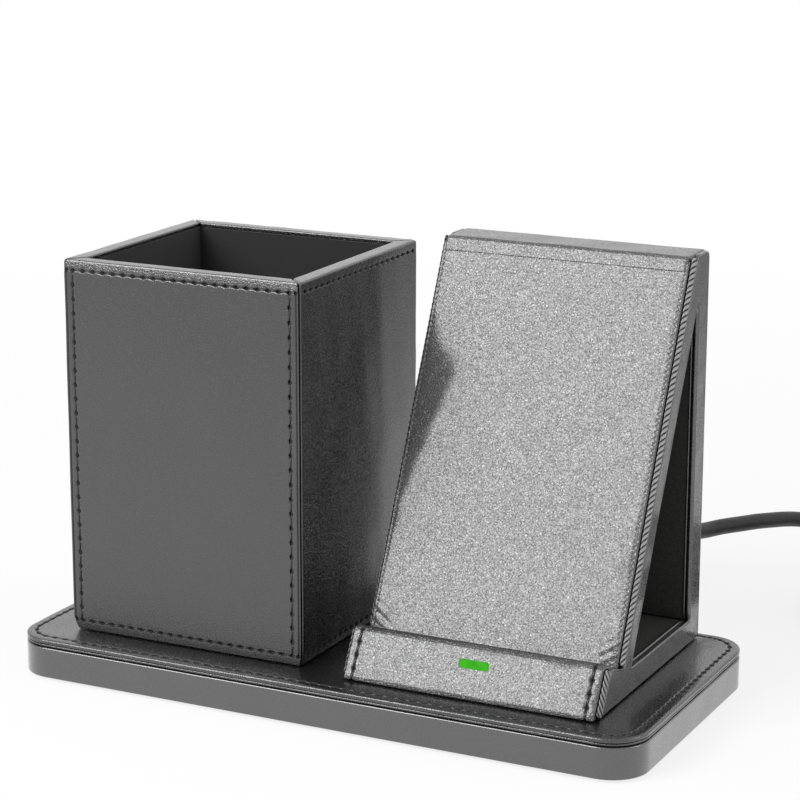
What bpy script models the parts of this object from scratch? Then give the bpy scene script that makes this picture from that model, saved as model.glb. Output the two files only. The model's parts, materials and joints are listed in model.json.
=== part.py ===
"""Wireless charger pen holder: a leather-covered base with a square pen box on its left
and a leaning charging stand on its right, with the charging cable behind it.

Metres, +Z up. The origin is on the table under the middle of the base, +X to the right
and +Y to the back.
"""

import math

import bpy
import bmesh
import numpy as np
from mathutils import Matrix, Vector

MM = 0.001

# General
CLEARANCE = 0.3 * MM        # between pieces that touch
OVERRUN = 4 * MM            # how far a cutter passes the faces that it opens
LEATHER = 1.2 * MM          # padded leatherette, as it is folded over an edge
LINING = 0.8 * MM           # thin lining without padding
EDGE_ROUNDING = 0.4 * MM

# Base
BASE_WIDTH = 200 * MM
BASE_DEPTH = 94 * MM
BASE_CORNER = 11.5 * MM
BASE_BOARD = 8.1 * MM
BASE_COVER = 2.2 * MM
BASE_COVER_BEAD = 0.9 * MM  # rounding of the padded cover's edge
BAND = 1.0 * MM             # thickness of the strip round the base's edge
BAND_HEIGHT = 9.4 * MM
LINING_INSET = 2.0 * MM     # bottom lining, in from the band

# Feet
FOOT_DIAMETER = 12 * MM
FOOT_HEIGHT = 1.0 * MM
FOOT_INSET = 15 * MM        # foot's middle, in from the base's sides

# Pen box
BOX_WIDTH = 78.5 * MM
BOX_HEIGHT = 113.5 * MM     # above the base's top
BOX_LEFT_MARGIN = 14 * MM
BOX_FRONT_MARGIN = 12 * MM
BOX_BACK_MARGIN = 7 * MM
BOX_BOARD = 2.4 * MM
BOX_FLOOR = 6.0 * MM
RIM_LEATHER = 1.2 * MM      # the fold over the rim

# Charging stand
BETWEEN = 14 * MM           # from the pen box to the stand
STAND_WIDTH = 78.5 * MM
STAND_HEIGHT = 118 * MM     # above the base's top
STAND_FRONT_MARGIN = 9.7 * MM
STAND_BACK_MARGIN = 4.0 * MM
STAND_TOP_DEPTH = 15.0 * MM
TOP_CAP = 1.2 * MM

# Lip and ledge along the stand's front
LIP_HEIGHT = 14.0 * MM      # above the base's top
LIP_LEAN = 7.3 * MM         # how far its top lies behind its foot
LEDGE_DEPTH = 10.4 * MM     # from the lip's top to the charging face
LEDGE_RISE = 8.5 * MM       # the ledge's low line, above the base's top
LEDGE_STEPS = 8
LEDGE_SLACK = 0.45 * MM     # under the curved fold

# Charger panel, measured along Y
PANEL_ALONG = 10.9 * MM
PANEL_RISE = 7.2 * MM       # its foot, above the base's top
PANEL_POCKET_WALL = 1.5 * MM

# Back panel and floor of the stand
BACK_BOARD = 5.0 * MM
BACK_LINING = 2.0 * MM
FLOOR_BOARD = 6.3 * MM

# Charging parts
COIL_UP = 70 * MM           # coil's middle, along the slope from the panel's foot
COIL_OUTER = 44 * MM
COIL_INNER = 20 * MM
COIL_THICK = 1.4 * MM
SHIELD_SIDE = 50 * MM
SHIELD_THICK = 1.0 * MM
SHIELD_CORNER = 4 * MM
CIRCUIT_WIDTH = 54 * MM
CIRCUIT_HEIGHT = 24 * MM
CIRCUIT_THICK = 1.2 * MM
CIRCUIT_UP = 28 * MM        # its middle, along the slope
POCKET_WIDTH = 58 * MM
POCKET_LOW = 14 * MM        # pocket's ends, along the slope
POCKET_HIGH = 98 * MM
CHIP_SIDE = 7 * MM
CHIP_HEIGHT = 1.0 * MM
INDUCTOR_SIDE = 8 * MM
INDUCTOR_HEIGHT = 2.2 * MM
CAPACITOR_LENGTH = 6 * MM
CAPACITOR_WIDTH = 3 * MM
CAPACITOR_HEIGHT = 2.0 * MM
PART_SPACING = 13 * MM      # between the parts on the circuit board
PART_SINK = 0.2 * MM        # the parts' solder

# Charging light
LIGHT_WIDTH = 10.5 * MM
LIGHT_HEIGHT = 3.0 * MM
LIGHT_DEPTH = 3.0 * MM
LIGHT_DROP_SHARE = 0.31     # down the lip's face
LIGHT_BOARD_WIDTH = 15 * MM
LIGHT_BOARD_HEIGHT = 6 * MM
LIGHT_BOARD_THICK = 1.0 * MM
LIGHT_CHIP_WIDTH = 3.2 * MM
LIGHT_CHIP_HEIGHT = 1.6 * MM
LIGHT_CHIP_THICK = 0.8 * MM

# Socket and the lead inside the stand
SOCKET_IN = 17 * MM         # socket's middle, in from the stand's right side
SOCKET_UP = 21.5 * MM       # socket's middle, above the base's top
SOCKET_WIDTH = 10.4 * MM
SOCKET_HEIGHT = 6.0 * MM
SOCKET_DEPTH = 7.0 * MM
MOUTH_WIDTH = 9.0 * MM
MOUTH_HEIGHT = 3.1 * MM
MOUTH_DEPTH = 5.9 * MM
LEAD_DIAMETER = 1.8 * MM
LEAD_CHANNEL = 2.8 * MM
LEAD_RISE = 2.2 * MM        # lead's middle in the floor, above the base's top
LEAD_BEND = 5 * MM

# Screws from under the base
SCREW_LENGTH = 15 * MM
SCREW_DIAMETER = 3.5 * MM
SCREW_HEAD = 7.0 * MM
SCREW_HEAD_HEIGHT = 2.2 * MM
SCREW_TIP = 3 * MM
SCREW_TIP_DIAMETER = 1.2 * MM
BOX_SCREW_IN = 13 * MM      # in from the ends of the pen box's floor
STAND_SCREW_IN = 12.2 * MM  # in from the ends of the stand's floor
SCREW_SIDES = 12

# Cable
CORD_DIAMETER = 5.0 * MM
TONGUE_WIDTH = 8.3 * MM
TONGUE_HEIGHT = 2.4 * MM
TONGUE_LENGTH = 5.4 * MM
PLUG_WIDTH = 12.0 * MM
PLUG_HEIGHT = 6.6 * MM
PLUG_LENGTH = 17 * MM
PLUG_ROUNDING = 1.5 * MM
RELIEF_LENGTH = 9 * MM
RELIEF_DIAMETER = 6.2 * MM
RELIEF_END_DIAMETER = 5.4 * MM
RELIEF_SIDES = 16

# Far plug
FAR_PLUG_WIDTH = 15.6 * MM
FAR_PLUG_HEIGHT = 8.0 * MM
FAR_PLUG_LENGTH = 26 * MM
FAR_SHELL_WIDTH = 12.0 * MM
FAR_SHELL_HEIGHT = 4.5 * MM
FAR_SHELL_LENGTH = 12 * MM
FAR_SHELL_WALL = 0.4 * MM
FAR_TONGUE_WIDTH = 10.4 * MM
FAR_TONGUE_THICK = 1.8 * MM

# The cord's way through the air and down to the table, as the photograph shows it
CORD_ROUTE = [
    (69.6 * MM, 88.0 * MM, 31.9 * MM),
    (72.1 * MM, 98.0 * MM, 30.8 * MM),
    (75.2 * MM, 109.0 * MM, 29.3 * MM),
    (78.3 * MM, 120.0 * MM, 27.7 * MM),
    (83.6 * MM, 138.0 * MM, 24.2 * MM),
    (88.6 * MM, 150.0 * MM, 19.9 * MM),
    (97.0 * MM, 160.0 * MM, 13.4 * MM),
    (108.5 * MM, 165.6 * MM, 7.0 * MM),
]
CORD_POINT_SPACING = 2.4 * CORD_DIAMETER

# The coil of the length that isn't shown
COIL_CENTRE = (136.5 * MM, 129.6 * MM)
COIL_RADIUS = 37 * MM       # of its outer turn
COIL_PITCH = 5.8 * MM       # from turn to turn in a layer
COIL_LAYER = 5.7 * MM       # from layer to layer
COIL_START = 88.0           # degrees round the coil where the cord comes in
COIL_TURN = 1528.0          # degrees that it turns, half of them in each layer
COIL_POINTS_PER_LOOP = 24
COIL_OFF_TABLE = 0.1 * MM
TAIL_LENGTH = 24 * MM       # from the last turn down to the far plug

# Finishes: colour, roughness, metallic
BLACK_LEATHER = ((0.032, 0.032, 0.034, 1), 0.42, 0.0)
LINING_CLOTH = ((0.012, 0.012, 0.012, 1), 0.85, 0.0)
BOARD = ((0.36, 0.25, 0.15, 1), 0.8, 0.0)
RUBBER = ((0.015, 0.015, 0.015, 1), 0.75, 0.0)
BLACK_PLASTIC = ((0.02, 0.02, 0.021, 1), 0.45, 0.0)
STEEL = ((0.62, 0.62, 0.63, 1), 0.3, 1.0)
COPPER = ((0.72, 0.32, 0.16, 1), 0.35, 1.0)
FERRITE = ((0.05, 0.05, 0.055, 1), 0.6, 0.0)
CIRCUIT = ((0.02, 0.12, 0.05, 1), 0.5, 0.0)
GREEN_LENS = ((0.10, 0.75, 0.16, 1), 0.3, 0.0)
CORD_JACKET = ((0.02, 0.02, 0.022, 1), 0.4, 0.0)


for old in list(bpy.data.objects):
    bpy.data.objects.remove(old, do_unlink=True)

parts = bpy.data.collections.new("wireless_charger_pen_holder")
cutters = bpy.data.collections.new("cutters")
for collection in (parts, cutters):
    bpy.context.scene.collection.children.link(collection)


def material(name, finish):
    colour, roughness, metallic = finish
    made = bpy.data.materials.new(name)
    made.use_nodes = True
    shader = made.node_tree.nodes["Principled BSDF"]
    shader.inputs["Base Color"].default_value = colour
    shader.inputs["Roughness"].default_value = roughness
    shader.inputs["Metallic"].default_value = metallic
    made.diffuse_color = colour
    return made


def add(name, mesh, finish, matrix=None):
    """An object of that mesh: a part where it has a finish, and otherwise a cutter."""
    made = bpy.data.objects.new(name, mesh)
    if matrix is not None:
        made.matrix_world = matrix
    if finish:
        parts.objects.link(made)
        mesh.materials.append(material(name, finish))
    else:
        cutters.objects.link(made)
        made.hide_render = True
        made.display_type = "WIRE"
    return made


def block(name, low, high, finish=None, matrix=None):
    """A box between two corners, in the frame of the matrix."""
    low, high = Vector(low), Vector(high)
    mesh = bpy.data.meshes.new(name)
    shape = bmesh.new()
    bmesh.ops.create_cube(shape, size=1)
    bmesh.ops.scale(shape, vec=high - low, verts=shape.verts)
    shape.to_mesh(mesh)
    shape.free()
    middle = Matrix.Translation((low + high) / 2)
    return add(name, mesh, finish, (matrix or Matrix()) @ middle)


def frustum(name, bottom, top, height, sides, finish=None, matrix=None):
    """A round piece from z 0 up to its height."""
    mesh = bpy.data.meshes.new(name)
    shape = bmesh.new()
    bmesh.ops.create_cone(
        shape, cap_ends=True, segments=sides, radius1=bottom / 2, radius2=top / 2, depth=height
    )
    bmesh.ops.translate(shape, vec=(0, 0, height / 2), verts=shape.verts)
    shape.to_mesh(mesh)
    shape.free()
    mesh.shade_smooth()
    mesh.set_sharp_from_angle(angle=math.radians(40))
    return add(name, mesh, finish, matrix)


def slab(name, outlines, thickness, finish=None, matrix=None):
    """A flat outline, and any holes in it, as a solid whose middle plane is z 0."""
    curve = bpy.data.curves.new(name, "CURVE")
    curve.dimensions = "2D"
    curve.fill_mode = "BOTH"
    curve.extrude = thickness / 2
    for points in outlines:
        spline = curve.splines.new("POLY")
        spline.points.add(len(points) - 1)
        spline.points.foreach_set("co", [c for x, y in points for c in (x, y, 0, 1)])
        spline.use_cyclic_u = True
    guide = bpy.data.objects.new(name, curve)
    cutters.objects.link(guide)
    bpy.context.view_layer.update()
    graph = bpy.context.evaluated_depsgraph_get()
    mesh = bpy.data.meshes.new_from_object(guide.evaluated_get(graph))
    bpy.data.objects.remove(guide, do_unlink=True)
    bpy.data.curves.remove(curve)
    shape = bmesh.new()
    shape.from_mesh(mesh)
    bmesh.ops.remove_doubles(shape, verts=shape.verts, dist=0.001 * MM)
    bmesh.ops.recalc_face_normals(shape, faces=shape.faces)
    shape.to_mesh(mesh)
    shape.free()
    mesh.name = name
    return add(name, mesh, finish, matrix)


def turned(name, profile, sides, finish=None, matrix=None):
    """A turned piece from a profile of (radius, height) that runs from top to bottom."""
    mesh = bpy.data.meshes.new(name)
    mesh.from_pydata(
        [(radius, 0, height) for radius, height in profile],
        [(i, i + 1) for i in range(len(profile) - 1)],
        [],
    )
    made = add(name, mesh, finish, matrix)
    screw = made.modifiers.new("Turn", "SCREW")
    screw.steps = screw.render_steps = sides
    screw.use_merge_vertices = True
    screw.merge_threshold = 0.01 * MM
    return made


def tube(name, points, diameter, finish, resolution):
    """A round tube along those points, with closed ends."""
    curve = bpy.data.curves.new(name, "CURVE")
    curve.dimensions = "3D"
    curve.bevel_depth = diameter / 2
    curve.bevel_resolution = resolution
    curve.use_fill_caps = True
    spline = curve.splines.new("POLY")
    spline.points.add(len(points) - 1)
    spline.points.foreach_set("co", [c for p in points for c in (*p, 1)])
    spline.use_smooth = True
    made = bpy.data.objects.new(name, curve)
    parts.objects.link(made)
    curve.materials.append(material(name, finish))
    return made


def combine(piece, other, operation):
    step = piece.modifiers.new(other.name, "BOOLEAN")
    step.operation = operation
    step.object = other


def cut(piece, *others):
    for other in others:
        combine(piece, other, "DIFFERENCE")


def round_edges(piece, width=EDGE_ROUNDING, segments=2, angle=50):
    step = piece.modifiers.new("Rounding", "BEVEL")
    step.width = width
    step.segments = segments
    step.limit_method = "ANGLE"
    step.angle_limit = math.radians(angle)
    return piece


def rounded_rectangle(width, depth, corner, steps=6):
    corners = [(1, 1), (-1, 1), (-1, -1), (1, -1)]
    points = []
    for quarter, (right, back) in enumerate(corners):
        for step in range(steps + 1):
            angle = math.radians(90 * (quarter + step / steps))
            points.append(
                (
                    right * (width / 2 - corner) + corner * math.cos(angle),
                    back * (depth / 2 - corner) + corner * math.sin(angle),
                )
            )
    return points


def circle(diameter, sides):
    turns = np.arange(sides) * math.tau / sides
    return [(diameter / 2 * math.cos(a), diameter / 2 * math.sin(a)) for a in turns]


def at_height(low, high):
    """Where a slab from low to high has its middle plane."""
    return Matrix.Translation((0, 0, (low + high) / 2))


# A slab's outline in (Y, Z), with its thickness along X.
SIDEWAYS = Matrix(((0, 0, 1, 0), (1, 0, 0, 0), (0, 1, 0, 0), (0, 0, 0, 1)))


def crosswise(name, outline, left, right, finish=None):
    """A solid with that (Y, Z) outline, from left to right."""
    middle = Matrix.Translation(((left + right) / 2, 0, 0))
    return slab(name, [outline], right - left, finish, middle @ SIDEWAYS)


# Base
lining_low = FOOT_HEIGHT + CLEARANCE
board_low = lining_low + LINING + CLEARANCE
board_high = board_low + BASE_BOARD
cover_low = board_high + CLEARANCE
base_top = cover_low + BASE_COVER
band_inside = 2 * (BAND + CLEARANCE)

base_board = slab(
    "base_board",
    [rounded_rectangle(BASE_WIDTH - band_inside, BASE_DEPTH - band_inside,
                       BASE_CORNER - band_inside / 2)],
    BASE_BOARD, BOARD, at_height(board_low, board_high),
)
base_top_cover = slab(
    "base_top_cover",
    [rounded_rectangle(BASE_WIDTH, BASE_DEPTH, BASE_CORNER)],
    BASE_COVER, BLACK_LEATHER, at_height(cover_low, base_top),
)
slab(
    "base_side_band",
    [rounded_rectangle(BASE_WIDTH, BASE_DEPTH, BASE_CORNER),
     rounded_rectangle(BASE_WIDTH - 2 * BAND, BASE_DEPTH - 2 * BAND, BASE_CORNER - BAND)],
    BAND_HEIGHT, BLACK_LEATHER, at_height(FOOT_HEIGHT, FOOT_HEIGHT + BAND_HEIGHT),
)
lining_in = 2 * (BAND + LINING_INSET)
slab(
    "base_bottom_lining",
    [rounded_rectangle(BASE_WIDTH - lining_in, BASE_DEPTH - lining_in,
                       BASE_CORNER - lining_in / 2)],
    LINING, LINING_CLOTH, at_height(lining_low, lining_low + LINING),
)
for front, row in ((-1, "front"), (1, "back")):
    for right, side in ((-1, "left"), (1, "right")):
        frustum(
            f"foot_{row}_{side}", FOOT_DIAMETER, FOOT_DIAMETER, FOOT_HEIGHT, 24, RUBBER,
            Matrix.Translation((right * (BASE_WIDTH / 2 - FOOT_INSET),
                                front * (BASE_DEPTH / 2 - FOOT_INSET), 0)),
        )

# Pen box: four boards round a floor, each with a leather cover that folds over the rim
standing = base_top + CLEARANCE
box_left = -BASE_WIDTH / 2 + BOX_LEFT_MARGIN
box_right = box_left + BOX_WIDTH
box_front = -BASE_DEPTH / 2 + BOX_FRONT_MARGIN
box_back = BASE_DEPTH / 2 - BOX_BACK_MARGIN
box_depth = box_back - box_front
box_x, box_y = (box_left + box_right) / 2, (box_front + box_back) / 2
box_top = base_top + BOX_HEIGHT
under_rim = box_top - RIM_LEATHER - CLEARANCE
wall_in = LEATHER + CLEARANCE                     # outer face of the boards
wall_thick = wall_in + BOX_BOARD + CLEARANCE + LINING

for name, turn, width, depth in (
    ("front", 0, BOX_WIDTH, box_depth),
    ("right", 1, box_depth, BOX_WIDTH),
    ("back", 2, BOX_WIDTH, box_depth),
    ("left", 3, box_depth, BOX_WIDTH),
):
    spin = Matrix.Translation((box_x, box_y, 0)) @ Matrix.Rotation(math.radians(90 * turn), 4, "Z")
    face = spin @ Matrix.Translation((0, -depth / 2, 0))
    profile = [
        (0, standing), (LEATHER, standing), (LEATHER, box_top - RIM_LEATHER),
        (wall_thick, box_top - RIM_LEATHER), (wall_thick, box_top), (0, box_top),
    ]
    cover = slab(f"box_{name}_cover", [profile], width, BLACK_LEATHER, face @ SIDEWAYS)
    for vertex in cover.data.vertices:            # the covers meet in mitred corners
        end = width / 2 - vertex.co.x - CLEARANCE / 2
        vertex.co.z = math.copysign(end, vertex.co.z)
    round_edges(cover)
    long = width / 2 - wall_in
    if turn % 2:                                  # the side boards stand between the others
        long -= BOX_BOARD + CLEARANCE
    block(f"box_{name}_board", (-long, wall_in, standing),
          (long, wall_in + BOX_BOARD, under_rim), BOARD, face)

inner_width = BOX_WIDTH - 2 * (wall_in + BOX_BOARD + CLEARANCE)
inner_depth = box_depth - 2 * (wall_in + BOX_BOARD + CLEARANCE)
box_floor_high = standing + BOX_FLOOR
box_floor = block(
    "box_floor_board",
    (box_x - inner_width / 2, box_y - inner_depth / 2, standing),
    (box_x + inner_width / 2, box_y + inner_depth / 2, box_floor_high), BOARD,
)
block(
    "box_floor_lining",
    (box_x - inner_width / 2, box_y - inner_depth / 2, box_floor_high + CLEARANCE),
    (box_x + inner_width / 2, box_y + inner_depth / 2, box_floor_high + CLEARANCE + LINING),
    LINING_CLOTH,
)
wall_lining_low = box_floor_high + LINING + 2 * CLEARANCE


def rectangle(width, depth):
    return [(-width / 2, -depth / 2), (width / 2, -depth / 2),
            (width / 2, depth / 2), (-width / 2, depth / 2)]


slab(
    "box_wall_lining",
    [rectangle(inner_width, inner_depth), rectangle(inner_width - 2 * LINING, inner_depth - 2 * LINING)],
    under_rim - wall_lining_low, LINING_CLOTH,
    Matrix.Translation((box_x, box_y, 0)) @ at_height(wall_lining_low, under_rim),
)

# Charging stand: the lines of its side, in (Y, Z)
stand_left = box_right + BETWEEN
stand_right = stand_left + STAND_WIDTH
stand_x = (stand_left + stand_right) / 2
stand_front = -BASE_DEPTH / 2 + STAND_FRONT_MARGIN
stand_back = BASE_DEPTH / 2 - STAND_BACK_MARGIN
stand_top = base_top + STAND_HEIGHT
core_left = stand_left + LEATHER + CLEARANCE
core_right = stand_right - LEATHER - CLEARANCE
lip_top = base_top + LIP_HEIGHT
lip_top_y = stand_front + LIP_LEAN
lip_slope = LIP_LEAN / LIP_HEIGHT
lip_angle = math.atan(lip_slope)
panel_high = stand_top - TOP_CAP - CLEARANCE
panel_slope = (stand_back - STAND_TOP_DEPTH - lip_top_y - LEDGE_DEPTH) / (panel_high - lip_top)
panel_angle = math.atan(panel_slope)
panel_thick = PANEL_ALONG * math.cos(panel_angle)
panel_low = base_top + PANEL_RISE
floor_high = standing + FLOOR_BOARD
floor_top = floor_high + CLEARANCE + LINING
back_lining_y = stand_back - LEATHER - BACK_BOARD - BACK_LINING - 2 * CLEARANCE
back_board_y = back_lining_y + BACK_LINING + CLEARANCE


def on_lip(z, inward=0.0):
    """Y on the lip's front face at that height, or that far inside it."""
    return stand_front + (z - base_top) * lip_slope + inward / math.cos(lip_angle)


def on_panel(z, inward=0.0):
    """Y on the charging face at that height, or that far behind it, square to it."""
    return (lip_top_y + LEDGE_DEPTH + (z - lip_top) * panel_slope
            + inward / math.cos(panel_angle))


ledge_low = base_top + LEDGE_RISE
ledge_back = on_panel(ledge_low) - CLEARANCE


def ledge(lower=0.0, forward=0.0):
    """The lip's rounded top and the ledge behind it, from the front, sunk that far."""
    points = []
    for step in range(LEDGE_STEPS + 1):
        share = step / LEDGE_STEPS
        y = lip_top_y + forward + (ledge_back - lip_top_y - forward) * share
        z = ledge_low + (lip_top - ledge_low) * (0.5 + 0.5 * math.cos(math.pi * share))
        points.append((y, z - lower))
    return points


lip_cover = crosswise(
    "lip_cover",
    [(on_lip(standing, LEATHER), standing), (on_lip(standing), standing), *ledge(),
     *reversed(ledge(LEATHER, LEATHER / math.cos(lip_angle)))],
    stand_left, stand_right, BLACK_LEATHER,
)
core_in = LEATHER + CLEARANCE
core_back = ledge_back
core_ledge = ledge(LEATHER + LEDGE_SLACK, core_in / math.cos(lip_angle))
lip_core = crosswise(
    "lip_core",
    [(on_lip(standing, core_in), standing), *core_ledge, (core_back, standing)],
    core_left, core_right, BOARD,
)
stand_floor = block(
    "stand_floor_board", (core_left, core_back + CLEARANCE, standing),
    (core_right, back_board_y - CLEARANCE, floor_high), BOARD,
)
floor_front = on_panel(panel_low, panel_thick) + CLEARANCE
block(
    "stand_floor_lining", (core_left, floor_front, floor_high + CLEARANCE),
    (core_right, back_lining_y - CLEARANCE, floor_top), BLACK_LEATHER,
)
for name, left, right in (
    ("stand_floor_left_side", stand_left, stand_left + LEATHER),
    ("stand_floor_right_side", stand_right - LEATHER, stand_right),
):
    round_edges(crosswise(
        name,
        [(on_lip(standing, core_in), standing), *core_ledge,
         (floor_front, core_ledge[-1][1]), (floor_front, floor_top),
         (back_lining_y - CLEARANCE, floor_top), (back_lining_y - CLEARANCE, standing)],
        left, right, BLACK_LEATHER,
    ), EDGE_ROUNDING / 2, 1)


def panel_layer(name, near, far, left, right, finish, low=panel_low, high=panel_high):
    """A sheet or board of the leaning panel, from near to far behind the charging face."""
    return crosswise(
        name,
        [(on_panel(low, near), low), (on_panel(high, near), high),
         (on_panel(high, far), high), (on_panel(low, far), low)],
        left, right, finish,
    )


panel_cover_low = ledge_low + CLEARANCE
tray_front = LEATHER + CLEARANCE
tray_back = panel_thick - LEATHER - CLEARANCE
round_edges(panel_layer("panel_front_cover", 0, LEATHER, stand_left, stand_right, BLACK_LEATHER,
                        panel_cover_low))
panel_board = panel_layer("panel_board", tray_front, tray_back, core_left, core_right, BOARD)
panel_layer("panel_rear_cover", panel_thick - LEATHER, panel_thick, core_left, core_right,
            BLACK_LEATHER)
for name, left, right in (
    ("panel_left_edge", stand_left, stand_left + LEATHER),
    ("panel_right_edge", stand_right - LEATHER, stand_right),
):
    round_edges(panel_layer(name, tray_front, panel_thick, left, right, BLACK_LEATHER),
                EDGE_ROUNDING / 2, 1)


def back_layer(name, near, far, left, right, finish, low=standing):
    """A sheet or board of the back panel; its top is cut to the leaning panel's back."""
    behind = panel_thick + CLEARANCE
    cut_low = lip_top + (near - on_panel(lip_top, behind)) / panel_slope
    cut_high = lip_top + (far - on_panel(lip_top, behind)) / panel_slope
    outline = [(near, low), (near, min(cut_low, panel_high))]
    if cut_high < panel_high:
        outline.append((far, cut_high))
    elif cut_low < panel_high:
        outline += [(on_panel(panel_high, behind), panel_high), (far, panel_high)]
    else:
        outline.append((far, panel_high))
    return crosswise(name, [*outline, (far, low)], left, right, finish)


back_cover_y = stand_back - LEATHER
back_cover = round_edges(back_layer("back_outer_cover", back_cover_y, stand_back,
                                    stand_left, stand_right, BLACK_LEATHER))
back_board = back_layer("back_board", back_board_y, back_cover_y - CLEARANCE,
                        core_left, core_right, BOARD)
back_lining = back_layer("back_inner_lining", back_lining_y, back_lining_y + BACK_LINING,
                         core_left, core_right, BLACK_LEATHER, floor_top + CLEARANCE)
for name, left, right in (
    ("back_left_edge", stand_left, stand_left + LEATHER),
    ("back_right_edge", stand_right - LEATHER, stand_right),
):
    round_edges(back_layer(name, back_lining_y, back_cover_y - CLEARANCE, left, right,
                           BLACK_LEATHER), EDGE_ROUNDING / 2, 1)

cap_low = panel_high + CLEARANCE
round_edges(crosswise(
    "stand_top_cap",
    [(on_panel(cap_low), cap_low), (on_panel(stand_top), stand_top),
     (stand_back, stand_top), (stand_back, cap_low)],
    stand_left, stand_right, BLACK_LEATHER,
))

# Charging parts, in a pocket of the leaning board: X across, Y up the slope, Z forward
foot_point = Vector((stand_x, on_panel(panel_low), panel_low))
on_slope = Matrix.Translation(foot_point) @ Matrix.Rotation(math.pi / 2 - panel_angle, 4, "X")
pocket_floor = tray_front + PANEL_POCKET_WALL
pocket = block(
    "panel_pocket", (-POCKET_WIDTH / 2, POCKET_LOW, -tray_back - OVERRUN),
    (POCKET_WIDTH / 2, POCKET_HIGH, -pocket_floor), matrix=on_slope,
)
cut(panel_board, pocket)

coil_near = pocket_floor + CLEARANCE
coil_far = coil_near + COIL_THICK
slab(
    "transmitter_coil", [circle(COIL_OUTER, 32), circle(COIL_INNER, 24)], COIL_THICK, COPPER,
    on_slope @ Matrix.Translation((0, COIL_UP, -(coil_near + coil_far) / 2)),
)
shield_near = coil_far + CLEARANCE
slab(
    "ferrite_shield", [rounded_rectangle(SHIELD_SIDE, SHIELD_SIDE, SHIELD_CORNER, 3)],
    SHIELD_THICK, FERRITE,
    on_slope @ Matrix.Translation((0, COIL_UP, -shield_near - SHIELD_THICK / 2)),
)
circuit_far = coil_near + CIRCUIT_THICK
circuit = block(
    "charger_circuit_board",
    (-CIRCUIT_WIDTH / 2, CIRCUIT_UP - CIRCUIT_HEIGHT / 2, -circuit_far),
    (CIRCUIT_WIDTH / 2, CIRCUIT_UP + CIRCUIT_HEIGHT / 2, -coil_near), CIRCUIT, on_slope,
)
for name, place, width, length, height in (
    ("charger_chip", 0, CHIP_SIDE, CHIP_SIDE, CHIP_HEIGHT),
    ("charger_inductor", -1, INDUCTOR_SIDE, INDUCTOR_SIDE, INDUCTOR_HEIGHT),
    ("charger_capacitor", 1, CAPACITOR_WIDTH, CAPACITOR_LENGTH, CAPACITOR_HEIGHT),
):
    x = place * PART_SPACING
    combine(circuit, block(
        name, (x - width / 2, CIRCUIT_UP - length / 2, -circuit_far - height),
        (x + width / 2, CIRCUIT_UP + length / 2, -circuit_far + PART_SINK), matrix=on_slope,
    ), "UNION")

# Charging light in the lip: X across, Y up the face, Z out of it
light_z = lip_top - LIGHT_DROP_SHARE * LIP_HEIGHT
on_face = (Matrix.Translation((stand_x, on_lip(light_z), light_z))
           @ Matrix.Rotation(math.pi / 2 - lip_angle, 4, "X"))


def inside_face(near, far):
    """Where a slab from near to far inside the lip's face has its middle plane."""
    return on_face @ Matrix.Translation((0, 0, -(near + far) / 2))


slot = rounded_rectangle(LIGHT_WIDTH + 2 * CLEARANCE, LIGHT_HEIGHT + 2 * CLEARANCE,
                         LIGHT_HEIGHT / 2 + CLEARANCE, 4)
light_slot = slab("light_slot", [slot], 2 * OVERRUN, None, on_face)
light_window = rounded_rectangle(LIGHT_WIDTH, LIGHT_HEIGHT, LIGHT_HEIGHT / 2, 4)
slab("light_window", [light_window], LIGHT_DEPTH, GREEN_LENS, inside_face(0, LIGHT_DEPTH))
light_board_near = LIGHT_DEPTH + CLEARANCE + LIGHT_CHIP_THICK
light_board_far = light_board_near + LIGHT_BOARD_THICK
light_board = block(
    "light_board", (-LIGHT_BOARD_WIDTH / 2, -LIGHT_BOARD_HEIGHT / 2, -light_board_far),
    (LIGHT_BOARD_WIDTH / 2, LIGHT_BOARD_HEIGHT / 2, -light_board_near), CIRCUIT, on_face,
)
combine(light_board, block(
    "light_chip", (-LIGHT_CHIP_WIDTH / 2, -LIGHT_CHIP_HEIGHT / 2, -light_board_near - PART_SINK),
    (LIGHT_CHIP_WIDTH / 2, LIGHT_CHIP_HEIGHT / 2, -light_board_near + LIGHT_CHIP_THICK),
    matrix=on_face,
), "UNION")
light_pocket = block(
    "light_pocket",
    (-LIGHT_BOARD_WIDTH / 2 - CLEARANCE, -LIGHT_BOARD_HEIGHT / 2 - CLEARANCE,
     -light_board_far - CLEARANCE),
    (LIGHT_BOARD_WIDTH / 2 + CLEARANCE, LIGHT_BOARD_HEIGHT / 2 + CLEARANCE, 0),
    matrix=on_face,
)
cut(lip_cover, light_slot)
cut(lip_core, light_pocket)
round_edges(lip_cover, EDGE_ROUNDING / 2, 1, 60)

# Socket in the back panel
socket_x = stand_right - SOCKET_IN
socket_z = base_top + SOCKET_UP
socket_y = stand_back - SOCKET_DEPTH
socket = block(
    "charging_socket", (socket_x - SOCKET_WIDTH / 2, socket_y, socket_z - SOCKET_HEIGHT / 2),
    (socket_x + SOCKET_WIDTH / 2, stand_back, socket_z + SOCKET_HEIGHT / 2), BLACK_PLASTIC,
)
cut(socket, block(
    "socket_mouth",
    (socket_x - MOUTH_WIDTH / 2, stand_back - MOUTH_DEPTH, socket_z - MOUTH_HEIGHT / 2),
    (socket_x + MOUTH_WIDTH / 2, stand_back + OVERRUN, socket_z + MOUTH_HEIGHT / 2),
))
socket_hole = block(
    "socket_hole",
    (socket_x - SOCKET_WIDTH / 2 - CLEARANCE, socket_y - CLEARANCE,
     socket_z - SOCKET_HEIGHT / 2 - CLEARANCE),
    (socket_x + SOCKET_WIDTH / 2 + CLEARANCE, stand_back + OVERRUN,
     socket_z + SOCKET_HEIGHT / 2 + CLEARANCE),
)
cut(back_cover, socket_hole)
cut(back_board, socket_hole)
cut(back_lining, socket_hole)

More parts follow.
